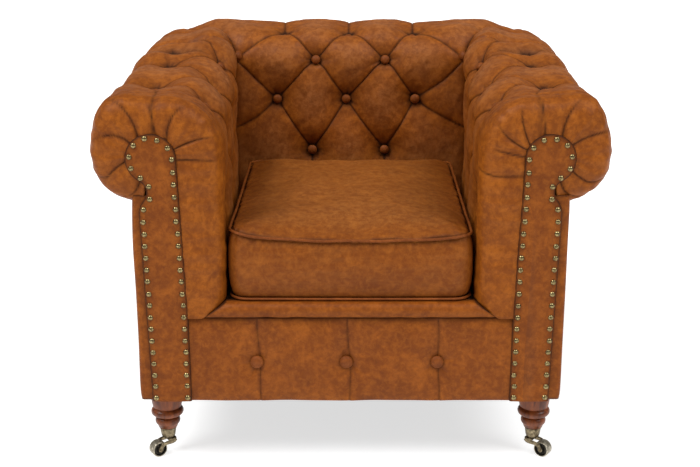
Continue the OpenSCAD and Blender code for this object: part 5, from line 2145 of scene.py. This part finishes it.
    def finish_seams(self, mesh: bpy.types.Mesh) -> None:
        """Draws the leather in at the seams with small puckers, and marks painted shade along the seams and a painted
        highlight over the top.

        Args:
            mesh: The case's mesh.
        """
        p = read_points(mesh)
        low, high = self.seams
        deep = self.edge_depth(p)
        way = np.arctan2(p[:, 1] - self.mid_y, p[:, 0]) * 0.3 + p[:, 0] * 0.7 - p[:, 1] * 0.3
        from_seam = np.minimum(np.abs(p[:, 2] - high), np.abs(p[:, 2] - low)) + np.clip(deep - 0.012, 0, 1)
        from_top = np.hypot(np.clip(deep - self.seam_in, 0, 1), p[:, 2] - high)
        pucker = wander(way, 0.3 * way, 37, self.pucker, (0.014, 0.04)) * np.exp(-from_top / 0.022)
        middle = np.array([0, self.mid_y, (low + high) / 2])
        out = p - middle
        out[:, 2] *= 2.2
        out /= np.maximum(np.linalg.norm(out, axis=1, keepdims=True), 1e-9)
        sink = self.seam_sink * np.exp(-from_top / 0.006)
        soft = wander(p[:, 0], p[:, 1], 41, 0.0016, (0.09, 0.3)) * (p[:, 2] > high)
        p += out * (pucker - sink)[:, None]
        p[:, 2] += soft
        p = self.settle_shape(p)
        p[:, 2] = np.maximum(p[:, 2], self.base)
        write_points(mesh, p)
        # painted shade along the seams, and a painted highlight on the top away from its edges
        for name, values in (("crease", 0.7 * np.exp(-from_seam / 0.004)),
                             ("crown", 0.7 * smooth((deep - 0.02) / 0.06) * (p[:, 2] > high))):
            layer = mesh.attributes.new(name, "FLOAT", "POINT")
            layer.data.foreach_set("value", values.astype(np.float32))

    def welt(self, upper: bool, finish: Material) -> Object:
        """Makes the piping of one seam.

        Args:
            upper: Whether it is the upper seam.
            finish: Its material.

        Returns:
            The piece.
        """
        plan = self.ring(self.seam_in - self.pipe, 60, 14)
        z = np.full((len(plan), 1), self.seams[1] if upper else self.seams[0])
        path = self.settle_shape(np.concatenate([plan, z], 1))
        path[:, 2] += 0.0007 * np.sin(np.arange(len(path)) * 0.37) * upper
        return solid("cushion_welt_top" if upper else "cushion_welt_bottom", *tube(path, self.pipe, 12, True), finish)

    def filling(self, finish: Material) -> Object:
        """Makes the foam inside the case."""
        points, faces = self.form(self.core_in)
        return solid("cushion_filling", self.settle_shape(points) - [0, 0, 0.001], faces, finish)


def read_points(mesh: bpy.types.Mesh) -> Array:
    """A mesh's points as an array.

    Args:
        mesh: The mesh.

    Returns:
        Its points, one row each.
    """
    flat = np.empty(len(mesh.vertices) * 3)
    mesh.vertices.foreach_get("co", flat)
    return flat.reshape(-1, 3)


def write_points(mesh: bpy.types.Mesh, points: Array) -> None:
    """Puts an array of points back into a mesh."""
    mesh.vertices.foreach_set("co", np.asarray(points, float).ravel())
    mesh.update()


# ---------------------------------------------------------------- legs and casters


@dataclass
class FrontLeg:
    """A turned front leg in its brass cup, with a swivelling horned caster."""

    side: Side
    x: float = 0.373
    y: float = -0.365
    top: float = 0.154
    trail: float = 0.0245
    turned: float = 35.0
    wheel_r: float = 0.016
    wheel_w: float = 0.020
    wheel_gap: float = 0.0008

    def spot(self, z: float = 0.0) -> tuple[float, float, float]:
        """The leg's axis at height z."""
        return (self.x, self.y, z)

    def leg(self, finish: Material) -> Object:
        """Turns the leg.

        Args:
            finish: Its material.

        Returns:
            The piece.
        """
        profile = [(0.0, 0.0468), (0.0139, 0.0468), (0.0139, 0.0586), (0.0175, 0.0588), (0.0192, 0.0600)]
        profile += [(0.0165 + 0.0087 * math.cos(t), 0.0751 - 0.001 + 0.0097 * math.sin(t))
                    for t in np.radians(np.linspace(-58, 66, 12))]
        profile += [(0.0205, 0.0845), (0.0228, 0.0850)]
        profile += [(0.0232 + 0.0095 * math.cos(t), 0.0943 + 0.0088 * math.sin(t))
                    for t in np.radians(np.linspace(-70, 70, 13))]
        profile += [(0.0262, 0.1032), (0.0270, 0.1042), (0.0286, 0.1048), (0.0291, 0.1062), (0.0303, 0.1120),
                    (0.0315, 0.1200), (0.0323, 0.1300), (0.0328, 0.1400), (0.0330, self.top - 0.0004),
                    (0.0, self.top - 0.0004)]
        points, faces = lathe([(max(r, 1e-5), z) for r, z in profile], self.spot(), 96)
        return solid(f"turned_leg_{self.side.word}", mirrored(points, self.side), faces, finish)

    def cup(self, finish: Material) -> Object:
        """Turns the cup.

        Args:
            finish: Its material.

        Returns:
            The piece.
        """
        profile = [(0.0041, 0.0361), (0.0112, 0.0361), (0.0126, 0.0372), (0.0138, 0.0400), (0.0142, 0.0412),
                   (0.0154, 0.0480), (0.0163, 0.0540), (0.0166, 0.0566), (0.0174, 0.0568), (0.0175, 0.0578),
                   (0.0170, 0.0583), (0.0142, 0.0583), (0.0141, 0.0464), (0.0041, 0.0464)]
        points, faces = lathe(profile, self.spot(), 72, True)
        return solid(f"leg_cup_{self.side.word}", mirrored(points, self.side), faces, finish)

    def on_axle(self, points: Array) -> Array:
        """Lays points turned about an upright axis round the wheel's axis instead."""
        return points[:, [0, 2, 1]] + [self.trail, 0, self.wheel_r]

    def at_caster(self, points: Array) -> Array:
        """Puts points drawn about the swivel, with the wheel trailing along X, in their place.

        Args:
            points: Points about the swivel.

        Returns:
            The points in place.
        """
        a = -math.radians(self.turned)
        turn = np.array([[math.cos(a), -math.sin(a), 0], [math.sin(a), math.cos(a), 0], [0, 0, 1]])
        return mirrored(np.asarray(points) @ turn.T + np.array(self.spot()), self.side)

    def fork(self, finish: Material) -> Object:
        """Makes the horned fork: two curved arms, the yoke over them and the swivel pin.

        Args:
            finish: Its material.

        Returns:
            The piece.
        """
        top = 0.0357
        horn = np.array([(-0.009, top - 0.003), (-0.004, top - 0.014), (self.trail - 0.006, top + 0.001),
                         (self.trail, self.wheel_r)])
        t = np.linspace(0, 1, 28)[:, None]
        line = ((1 - t) ** 3 * horn[0] + 3 * t * (1 - t) ** 2 * horn[1] + 3 * t * t * (1 - t) * horn[2]
                + t**3 * horn[3])
        shape = Shape()
        reach = self.wheel_w / 2 + self.wheel_gap
        for s in (-1, 1):
            flat = s * (reach + 0.0015)
            path = np.stack([line[:, 0], np.full(28, flat), line[:, 1]], -1)
            points, faces = tube(path, 0.0050 - 0.0010 * t[:, 0], 16, up=(0, 1, 0))
            points[:, 1] = flat + (points[:, 1] - flat) * 0.32
            shape.add(self.at_caster(points), faces)
            rim = [(0.0026, 0.0), (0.0040, 0.0), (0.0047, 0.0006), (0.0047, 0.0024), (0.0040, 0.0030), (0.0026, 0.0030)]
            points, faces = lathe(rim, (0, 0, 0), 32, True)
            points = self.on_axle(points)
            points[:, 1] = s * (reach + points[:, 1])
            shape.add(self.at_caster(points), faces)
        outline = fillet([(-0.0128, -reach - 0.003), (0.0062, -reach - 0.003), (0.0062, reach + 0.003),
                          (-0.0128, reach + 0.003)], 0.006, 6)
        n = len(outline)
        rings = [(0.9, top - 0.0042), (1.0, top - 0.0032), (1.0, top - 0.0008), (0.9, top)]
        points = np.array([(x * k, y * k, z) for k, z in rings for x, y in outline])
        shape.add(self.at_caster(points), ring_faces(len(rings), n))
        points, faces = lathe([(1e-5, top - 0.001), (0.0038, top - 0.001), (0.0038, 0.0459), (1e-5, 0.0459)],
                              (0, 0, 0), 32)
        shape.add(self.at_caster(points), faces)
        return shape.build(f"horned_fork_{self.side.word}", finish)

    def wheel(self, finish: Material) -> Object:
        """Turns the dished wheel.

        Args:
            finish: Its material.

        Returns:
            The piece.
        """
        w, r, dish = self.wheel_w / 2, self.wheel_r, 0.0070
        half = [(0.0026, -w + 0.001), (0.0044, -w + 0.0008), (0.0050, -w + 0.0014), (0.0054, dish - w),
                (r - 0.0040, dish - w), (r - 0.0028, dish - w - 0.0012), (r - 0.0026, -w + 0.0006),
                (r - 0.0020, -w), (r - 0.0009, -w + 0.0002), (r - 0.0002, -w + 0.0010), (r, -w + 0.0024)]
        profile = half + [(a, -z) for a, z in reversed(half)]
        points, faces = lathe(profile, (0, 0, 0), 80, True)
        # painted shade: the dish inside the rim is marked to take the metal's near-black
        inner = np.hypot(points[:, 0], points[:, 1]) < r - 0.0022
        return solid(f"caster_wheel_{self.side.word}_dished", self.at_caster(self.on_axle(points)), faces, finish,
                     crease=inner * 0.9)

    def axle(self, finish: Material) -> Object:
        """Makes the axle with its rounded ends.

        Args:
            finish: Its material.

        Returns:
            The piece.
        """
        end = self.wheel_w / 2 + self.wheel_gap + 0.003 + 0.0005
        profile = [(1e-5, -end), (0.0016, -end + 0.0001), (0.0024, -end + 0.0008), (0.00249, -end + 0.0016),
                   (0.00249, end - 0.0016), (0.0024, end - 0.0008), (0.0016, end - 0.0001), (1e-5, end)]
        points, faces = lathe(profile, (0, 0, 0), 32)
        return solid(f"axle_pin_{self.side.word}", self.at_caster(self.on_axle(points)), faces, finish)


# ---------------------------------------------------------------- inside the seat and the paddings


def slab(outline: Array, low: float, high: float) -> tuple[Array, Faces]:
    """An upright slab over an outline in plan."""
    return np.array([(x, y, z) for z in (low, high) for x, y in outline]), ring_faces(2, len(outline))


@dataclass
class FoamBlocks:
    """The shaped foam behind the paddings."""

    roll: Roll = field(default_factory=Roll)
    inset: float = 0.0360
    inner_q: tuple[float, float] = (0.196, 0.0813)
    inner_z: tuple[float, float] = (0.353, 0.5803)
    front: float = -0.4112
    straight: float = 0.185
    gap: float = 0.0006
    rows: int = 57

    def curves(self) -> tuple[Array, Array, Array]:
        """The way over the outer surface, and the inner edge's q and z at as many places.

        Returns:
            The way, q and z.
        """
        s = np.linspace(0, self.roll.length, self.rows)
        up, across = self.inner_z[1] - self.inner_z[0], self.inner_q[0] - self.inner_q[1]
        way = np.linspace(0, up + across, self.rows)
        q = np.interp(way, [0, up, up + across], [self.inner_q[0], self.inner_q[0], self.inner_q[1]])
        z = np.interp(way, [0, up, up + across], [self.inner_z[0], self.inner_z[1], self.inner_z[1]])
        return s, q, z

    def arm(self, side: Side, finish: Material) -> Object:
        """Makes the foam of one arm, mitred at the rear.

        Args:
            side: The side of the chair.
            finish: Its material.

        Returns:
            The piece.
        """
        s, q_in, z_in = self.curves()
        skin = ArmPadding(side=side)
        plain, turned = 30, 10
        flat = np.concatenate([np.linspace(self.front, self.straight, plain), np.full(turned, self.straight)])[:, None]
        share = np.concatenate([np.zeros(plain), np.linspace(0.1, 1, turned)])[:, None]
        end = self.roll.back - self.roll.point(s, self.inset)[0] - self.gap
        outer = skin.place(s[None] + 0 * flat, self.inset, flat * (1 - share) + end[None] * share)
        y_in = flat * (1 - share) + (self.roll.back - q_in[None] - self.gap) * share
        px, py = self.roll.corner(self.roll.half_w - q_in[None] + 0 * y_in, y_in)
        inner = np.stack([px, py, z_in[None] + 0 * y_in], -1)
        shape = Shape()
        shape.wrap(outer, inner, 1, side)
        return shape.build(f"foam_block_{side.word}", finish)

    def back(self, finish: Material) -> Object:
        """Makes the foam of the back, mitred at both ends.

        Args:
            finish: Its material.

        Returns:
            The piece.
        """
        s, q_in, z_in = self.curves()
        skin = BackPadding()
        share = np.linspace(-1, 1, 49)[:, None]
        outer = skin.place(share * skin.reach(s, self.inset)[None], s[None] + 0 * share, self.inset)
        px, py = self.roll.corner(share * (self.roll.half_w - q_in[None]), self.roll.back - q_in[None] + 0 * share)
        inner = np.stack([px, py, z_in[None] + 0 * px], -1)
        shape = Shape()
        shape.wrap(outer, inner, 1)
        return shape.build("foam_block_back", finish)


@dataclass
class SeatDeck:
    """The deck pad on its serpentine springs, and the black cloth under the frame."""

    front: float = -0.4163
    rear: float = 0.2534
    low: float = 0.3345
    high: float = 0.3520
    narrow: float = 0.2417
    wide: float = 0.2934
    step_y: float = -0.3970
    wire: float = 0.0019
    bend: float = 0.015
    half_w: float = 0.025
    springs: int = 5
    spacing: float = 0.108
    spring_z: float = 0.3181
    first: float = -0.4056
    last: float = 0.3490
    cloth_low: float = 0.1527
    cloth_high: float = 0.1536

    def pad(self, finish: Material) -> Object:
        """Makes the pad, with a soft uneven top.

        Args:
            finish: Its material.

        Returns:
            The piece.
        """
        along, across = np.linspace(self.front, self.rear, 129), np.linspace(-1, 1, 97)
        wide = self.narrow + (self.wide - self.narrow) * smooth((along - self.step_y) / 0.016)
        x, y = wide[:, None] * across[None], np.repeat(along[:, None], 97, 1)
        edge = np.minimum(np.minimum(y - self.front, self.rear - y), (1 - np.abs(across))[None] * wide[:, None])
        top = self.high - 0.0060 * np.exp(-edge / 0.007) - 0.0010 + wander(x, y, 61, 0.0005, (0.05, 0.2))
        outer = np.stack([x, y, np.minimum(top, self.high)], -1)
        shape = Shape()
        shape.wrap(outer, np.stack([x, y, np.full(x.shape, self.low)], -1)[COARSE])
        return shape.build("seat_deck_pad", finish)

    def wires(self, recipe: Recipe, finish: Material) -> Object:
        """Bends one serpentine wire and repeats it across the seat.

        Args:
            recipe: The swept wire's recipe.
            finish: Its material.

        Returns:
            All the springs.
        """
        first, run = self.first, self.last - self.first
        bars = 2 * int(run // (4 * self.bend))
        gap = run / bars
        r, path = gap / 2, []
        for i in range(bars + 1):
            way, y = (1 if i % 2 == 0 else -1), first + i * gap
            path += [(-way * (self.half_w - r), y), (way * (self.half_w - r), y)]
            if i < bars:
                path += [(way * (self.half_w - r + r * math.sin(t)), y + r - r * math.cos(t))
                         for t in np.radians(np.arange(20, 180, 20))]
        base, top = self.spring_z, self.low - self.wire - 0.0003
        line = np.array([(x, y, base + (top - base) * math.sin(math.pi * np.clip((y - first) / run, 0, 1)))
                         for x, y in path])
        return bake(edge_line("serpentine_springs", line), recipe, Radius=self.wire, Sides=10, Copies=self.springs,
                    Spacing=self.spacing, Finish=finish)

    def cloth(self, finish: Material) -> Object:
        """Makes the black cloth under the frame, cut back at the legs.

        Args:
            finish: Its material.

        Returns:
            The piece.
        """
        x0, x1, y0, y1, y2, y3 = 0.335, 0.402, -0.423, -0.327, 0.323, 0.366
        plan = [(-x0, y0), (x0, y0), (x0, y1), (x1, y1), (x1, y2), (x0, y2), (x0, y3), (-x0, y3), (-x0, y2), (-x1, y2),
                (-x1, y1), (-x0, y1)]
        made = solid("under_cloth", *slab(np.array(plan), self.cloth_low, self.cloth_high), finish, True)
        return made


def lining(name: str, start: Sequence[float], across: Sequence[float], finish: Material, seed: int,
           low: float = 0.342, height: float = 0.234) -> Object:
    """A jute lining stretched upright between the rails and the plank.

    Args:
        name: The piece's name.
        start: X and Y of its first corner.
        across: Its run in plan, from that corner.
        finish: Its material.
        seed: Seed of its small waves.
        low: Height of its lower edge.
        height: Its own height.

    Returns:
        The lining, a stretched sheet.
    """
    run, half = np.asarray(across, float), 0.0006
    width = float(np.linalg.norm(run))
    i, j = np.meshgrid(np.linspace(0, 1, 49), np.linspace(0, 1, 21), indexing="ij")
    normal = np.array([-run[1], run[0], 0]) / width
    flat = np.array([*start, low], float) + i[..., None] * np.array([run[0], run[1], 0]) + j[..., None] * [0, 0, height]
    wave = wander(i * width, j * height, seed, 0.0002, (0.08, 0.2))[..., None]
    front, rear = flat + normal * (wave + half), flat + normal * (wave - half)
    shape = Shape()
    shape.wrap(front, rear, 1)
    made = shape.build(name, finish)
    return made


@dataclass
class Zip:
    """The zip in the cushion's rear boxing."""

    length: float = 0.380
    face: float = 0.1903
    middle: float = 0.4173
    slider_x: tuple[float, float] = (0.168, 0.182)

    def tape(self, finish: Material) -> Object:
        """Makes the two halves of the tape, each with a thicker edge beside the teeth.

        Args:
            finish: Its material.

        Returns:
            The piece.
        """
        shape = Shape()
        x = self.length / 2
        for way in (-1, 1):
            rows = [(0.0014, 0.0000), (0.0100, 0.0000), (0.0100, 0.0008), (0.0030, 0.0010), (0.0024, 0.0015),
                    (0.0014, 0.0013)]
            ring = [(self.face + d, self.middle + way * h) for h, d in rows]
            shape.add(np.array([(s * x, y, z) for s in (-1, 1) for y, z in ring]), ring_faces(2, len(ring)))
        return shape.build("zip_tape", finish, True)

    def teeth(self, recipe: Recipe, finish: Material) -> Object:
        """Sets the teeth in a row between the tapes.

        Args:
            recipe: The recipe of one of them.
            finish: Its material.

        Returns:
            The piece.
        """
        x = self.length / 2 - 0.004
        line = np.array([(-x, self.face + 0.0019, self.middle), (x, self.face + 0.0019, self.middle)])
        return bake(edge_line("zip_teeth", line), recipe, Step=0.0029, Size=(0.0017, 0.0021, 0.0046), Finish=finish)

    def slider(self, finish: Material) -> Object:
        """Makes the slider with its bridge and pull.

        Args:
            finish: Its material.

        Returns:
            The piece.
        """
        x0, x1, z0, z1 = *self.slider_x, self.middle - 0.005, self.middle + 0.005
        shape = Shape()
        plan = fillet([(x0, z0 + 0.0012), (x1 - 0.004, z0), (x1, z0 + 0.002), (x1, z1 - 0.002), (x1 - 0.004, z1),
                       (x0, z1 - 0.0012)], 0.0015, 4)
        points, faces = slab(np.array(plan), 0.0, 0.0011)
        shape.add(points[:, [0, 2, 1]] + [0, self.face + 0.0031, 0], faces)
        arch = np.array([(x0 + 0.003 + 0.008 * t, self.face + 0.0038 + 0.0017 * math.sin(math.pi * t), self.middle)
                         for t in np.linspace(0, 1, 12)])
        shape.add(*tube(arch, 0.0006, 10))
        pull = fillet([(x0 + 0.0030, -0.0008), (x0 + 0.0104, -0.0008), (x0 + 0.0090, -0.0150), (x0 + 0.0044, -0.0150)],
                      0.002, 4)
        points, faces = slab(np.array(pull), 0.0, 0.0008)
        shape.add(points[:, [0, 2, 1]] + [0, self.face + 0.0047, self.middle], faces)
        return shape.build("zip_slider_pull", finish, True)


@dataclass
class RearLeg:
    """A square rear leg, tapered to the floor, with bevelled edges."""

    side: Side
    x: float = 0.359
    y: float = 0.347
    top: float = 0.1537
    wide: float = 0.022
    foot: float = 0.016
    bevel: float = 0.0022

    def build(self, finish: Material) -> Object:
        """Makes the leg.

        Args:
            finish: Its material.

        Returns:
            The piece.
        """
        points = []
        levels = ((0.0, 0.0016), (0.0016, 0.0), (self.top / 2, 0.0), (self.top - 0.0003, 0.0))
        for z, shrink in levels:
            half = self.foot + (self.wide - self.foot) * z / self.top
            x0, x1 = -half + shrink, half - shrink
            y0, y1 = self.wide - 2 * half + shrink, self.wide - shrink
            ring = fillet([(x0, y0), (x1, y0), (x1, y1), (x0, y1)], self.bevel, 3)
            points += [(self.x + x, self.y + y, z) for x, y in ring]
        return solid(f"tapered_leg_{self.side.word}", mirrored(np.array(points), self.side),
                     ring_faces(len(levels), len(ring)), finish, True)


@dataclass
class Studio:
    """The floor, the lights and the camera."""

    camera_at: tuple[float, float, float] = (-0.0011, -2.794, 1.2127)
    pitch: float = 73.0
    focal: float = 66.857
    floor_glow: float = 0.66
    sky: float = 0.24

    def build(self) -> None:
        """Sets the studio up."""
        scene = bpy.context.scene
        made, g = blank("studio_floor")
        g.surface(Base_Color=(0.62, 0.62, 0.62, 1.0), Roughness=0.8, Emission_Color=(1.0, 1.0, 1.0, 1.0),
                  Emission_Strength=self.floor_glow)
        shape = Shape()
        shape.add(np.array([(-20, -8, 0), (20, -8, 0), (20, 30, 0), (-20, 30, 0)], float), [(0, 1, 2, 3)], False)
        shape.build("studio_floor", made)
        world = bpy.data.worlds.new("studio")
        scene.world = world
        world.use_nodes = True
        background = world.node_tree.nodes["Background"].inputs
        background["Color"].default_value = (1, 1, 1, 1)
        background["Strength"].default_value = self.sky
        scene.view_settings.view_transform = "Standard"
        for name, place, angle, power in (
            ("key_light", (-2.4, -1.5, 3.9), 34, 2.5),
            ("fill_light", (2.4, -1.5, 3.6), 38, 1.9),
        ):
            lamp = bpy.data.lights.new(name, "SUN")
            lamp.angle, lamp.energy = math.radians(angle), power
            made_lamp = linked(name, lamp)
            made_lamp.location = place
            made_lamp.rotation_euler = (-Vector(place)).to_track_quat("-Z", "Y").to_euler()
        lens = bpy.data.cameras.new("camera")
        lens.lens, lens.sensor_width = self.focal, 36.0
        view = linked("camera", lens)
        view.location = self.camera_at
        view.rotation_euler = (math.radians(self.pitch), 0, 0)
        scene.camera = view


LEFT_PLEATS = (
    Pleat((0.470, 0.482, 0.478), (0, 40, 90)),
    Pleat((0.460, 0.412), (0, 60)),
    Pleat((0.504, 0.553), (0, 68)),
    Pleat((0.560, 0.628), (0, 52)),
    Pleat((0.680, 0.702, 0.700), (0, 40, 70)),
    Pleat((0.788, 0.757), (0, 50)),
    Pleat((0.347, 0.328), (0, 50)),
    Pleat((0.284, 0.279), (0, 52)),
)
RIGHT_PLEATS = (
    Pleat((0.472, 0.461), (0, 90)),
    Pleat((0.405, 0.425), (0, 50)),
    Pleat((0.336, 0.361), (0, 44)),
    Pleat((0.287, 0.306), (0, 38)),
    Pleat((0.252, 0.251, 0.262), (0, 34, 80)),
    Pleat((0.498, 0.537), (0, 62)),
    Pleat((0.580, 0.620), (0, 70)),
    Pleat((0.733, 0.696), (0, 74)),
    Pleat((0.790, 0.748), (0, 70)),
)


def main() -> None:
    """Builds the armchair piece by piece."""
    logging.basicConfig(level=logging.INFO, format="%(message)s")
    finishes = Finishes()
    get = finishes.get
    Studio().build()
    domes, wires, blocks = dome_recipe(), sweep_recipe(), row_recipe()
    cushion, foams = Cushion(), FoamBlocks()
    settle(cushion.cover(get("seat")), Body.CUSHION, "leather", "cushion_cover", fill=0.85)
    settle(cushion.welt(True, get("button")), Body.CUSHION, "leather", "piping_top")
    settle(cushion.welt(False, get("button")), Body.CUSHION, "leather", "piping_bottom")
    settle(cushion.filling(get("foam")), Body.CUSHION, "foam", "cushion_core", fill=0.9)
    for side, pleats in ((Side.LEFT, LEFT_PLEATS), (Side.RIGHT, RIGHT_PLEATS)):
        arm = ArmPadding(side=side, pleats=pleats, over=(0, 2, 3, 4))
        settle(arm.build(get("padding")), Body.CHAIR, "leather", f"inside_arm_{side.word}", fill=0.9)
        settle(arm.tuft_buttons(side.word, domes, get("button")), Body.CHAIR, "leather", f"arm_buttons_{side.word}")
        facing = Facing(side)
        settle(facing.panel(get("panel")), Body.CHAIR, "leather", f"facing_{side.word}")
        settle(facing.nails(domes, get("nail")), Body.CHAIR, "nail_brass", f"nails_{side.word}")
        settle(foams.arm(side, get("foam")), Body.CHAIR, "foam", f"arm_foam_{side.word}", fill=0.95)
        settle(lining(f"arm_jute_lining_{side.word}", (side.value * 0.295, -0.4110), (0.0, 0.6655), get("jute"),
                      81 + side.value), Body.CHAIR, "jute", f"arm_lining_{side.word}")
        settle(RearLeg(side).build(get("leg")), Body.CHAIR, "leg_wood", f"rear_leg_{side.word}")
        settle(Covers().side(side, get("panel")), Body.CHAIR, "leather", f"outside_arm_{side.word}")
        leg = FrontLeg(side)
        settle(leg.leg(get("leg")), Body.CHAIR, "leg_wood", f"front_leg_{side.word}")
        settle(leg.cup(get("brass")), Body.CHAIR, "caster_brass", f"caster_cup_{side.word}")
        fork_body, wheel_body = Body[f"CASTER_{side.name}"], Body[f"WHEEL_{side.name}"]
        settle(leg.fork(get("brass")), fork_body, "caster_brass", f"caster_fork_{side.word}")
        settle(leg.axle(get("brass")), fork_body, "caster_brass", f"caster_axle_{side.word}")
        settle(leg.wheel(get("tread")), wheel_body, "wheel_metal", f"caster_wheel_{side.word}")
    back = BackPadding()
    settle(back.build(get("padding")), Body.CHAIR, "leather", "inside_back", fill=0.9)
    settle(back.tuft_buttons("back", domes, get("button")), Body.CHAIR, "leather", "back_buttons")
    settle(Covers().back(get("panel")), Body.CHAIR, "leather", "outside_back")
    settle(FrontRoll().build(get("panel")), Body.CHAIR, "leather", "front_lip", fill=0.9)
    apron = Apron()
    settle(apron.build(get("panel")), Body.CHAIR, "leather", "front_border", fill=0.8)
    settle(apron.buttons(domes, get("button")), Body.CHAIR, "leather", "border_buttons")
    settle(foams.back(get("foam")), Body.CHAIR, "foam", "back_foam", fill=0.95)
    settle(lining("back_jute_lining", (-0.2934, 0.2550), (0.5868, 0.0), get("jute_across"), 83), Body.CHAIR, "jute",
           "back_lining")
    deck = SeatDeck()
    settle(deck.pad(get("ticking")), Body.CHAIR, "deck_cloth", "deck_pad", fill=0.6)
    settle(deck.wires(wires, get("steel")), Body.CHAIR, "spring_steel", "seat_springs")
    settle(deck.cloth(get("cambric")), Body.CHAIR, "cambric", "dust_cover")
    zipper = Zip()
    settle(zipper.tape(get("tape")), Body.CUSHION, "zip_tape", "cushion_zip")
    settle(zipper.teeth(blocks, get("nail")), Body.CUSHION, "zip_brass")
    settle(zipper.slider(get("brass")), Body.SLIDER, "zip_brass", "zip_slider")
    pairs = ("side_rail", "scroll_board", "back_post", "arm_plank", "arm_stay")
    timbers = [f"{node}_{side.word}" for node in pairs for side in Side]
    timbers += ["front_rail", "rear_rail", "back_plank", "back_stay", "corner_blocks"]
    for look, nodes in (("timber", timbers), ("zinc", ("hanger_bolts", "spring_clips"))):
        for node in nodes:
            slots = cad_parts[node].material_slots
            for k in range(len(slots)):
                slots[k].material = get(look)


if __name__ == "__main__":
    main()
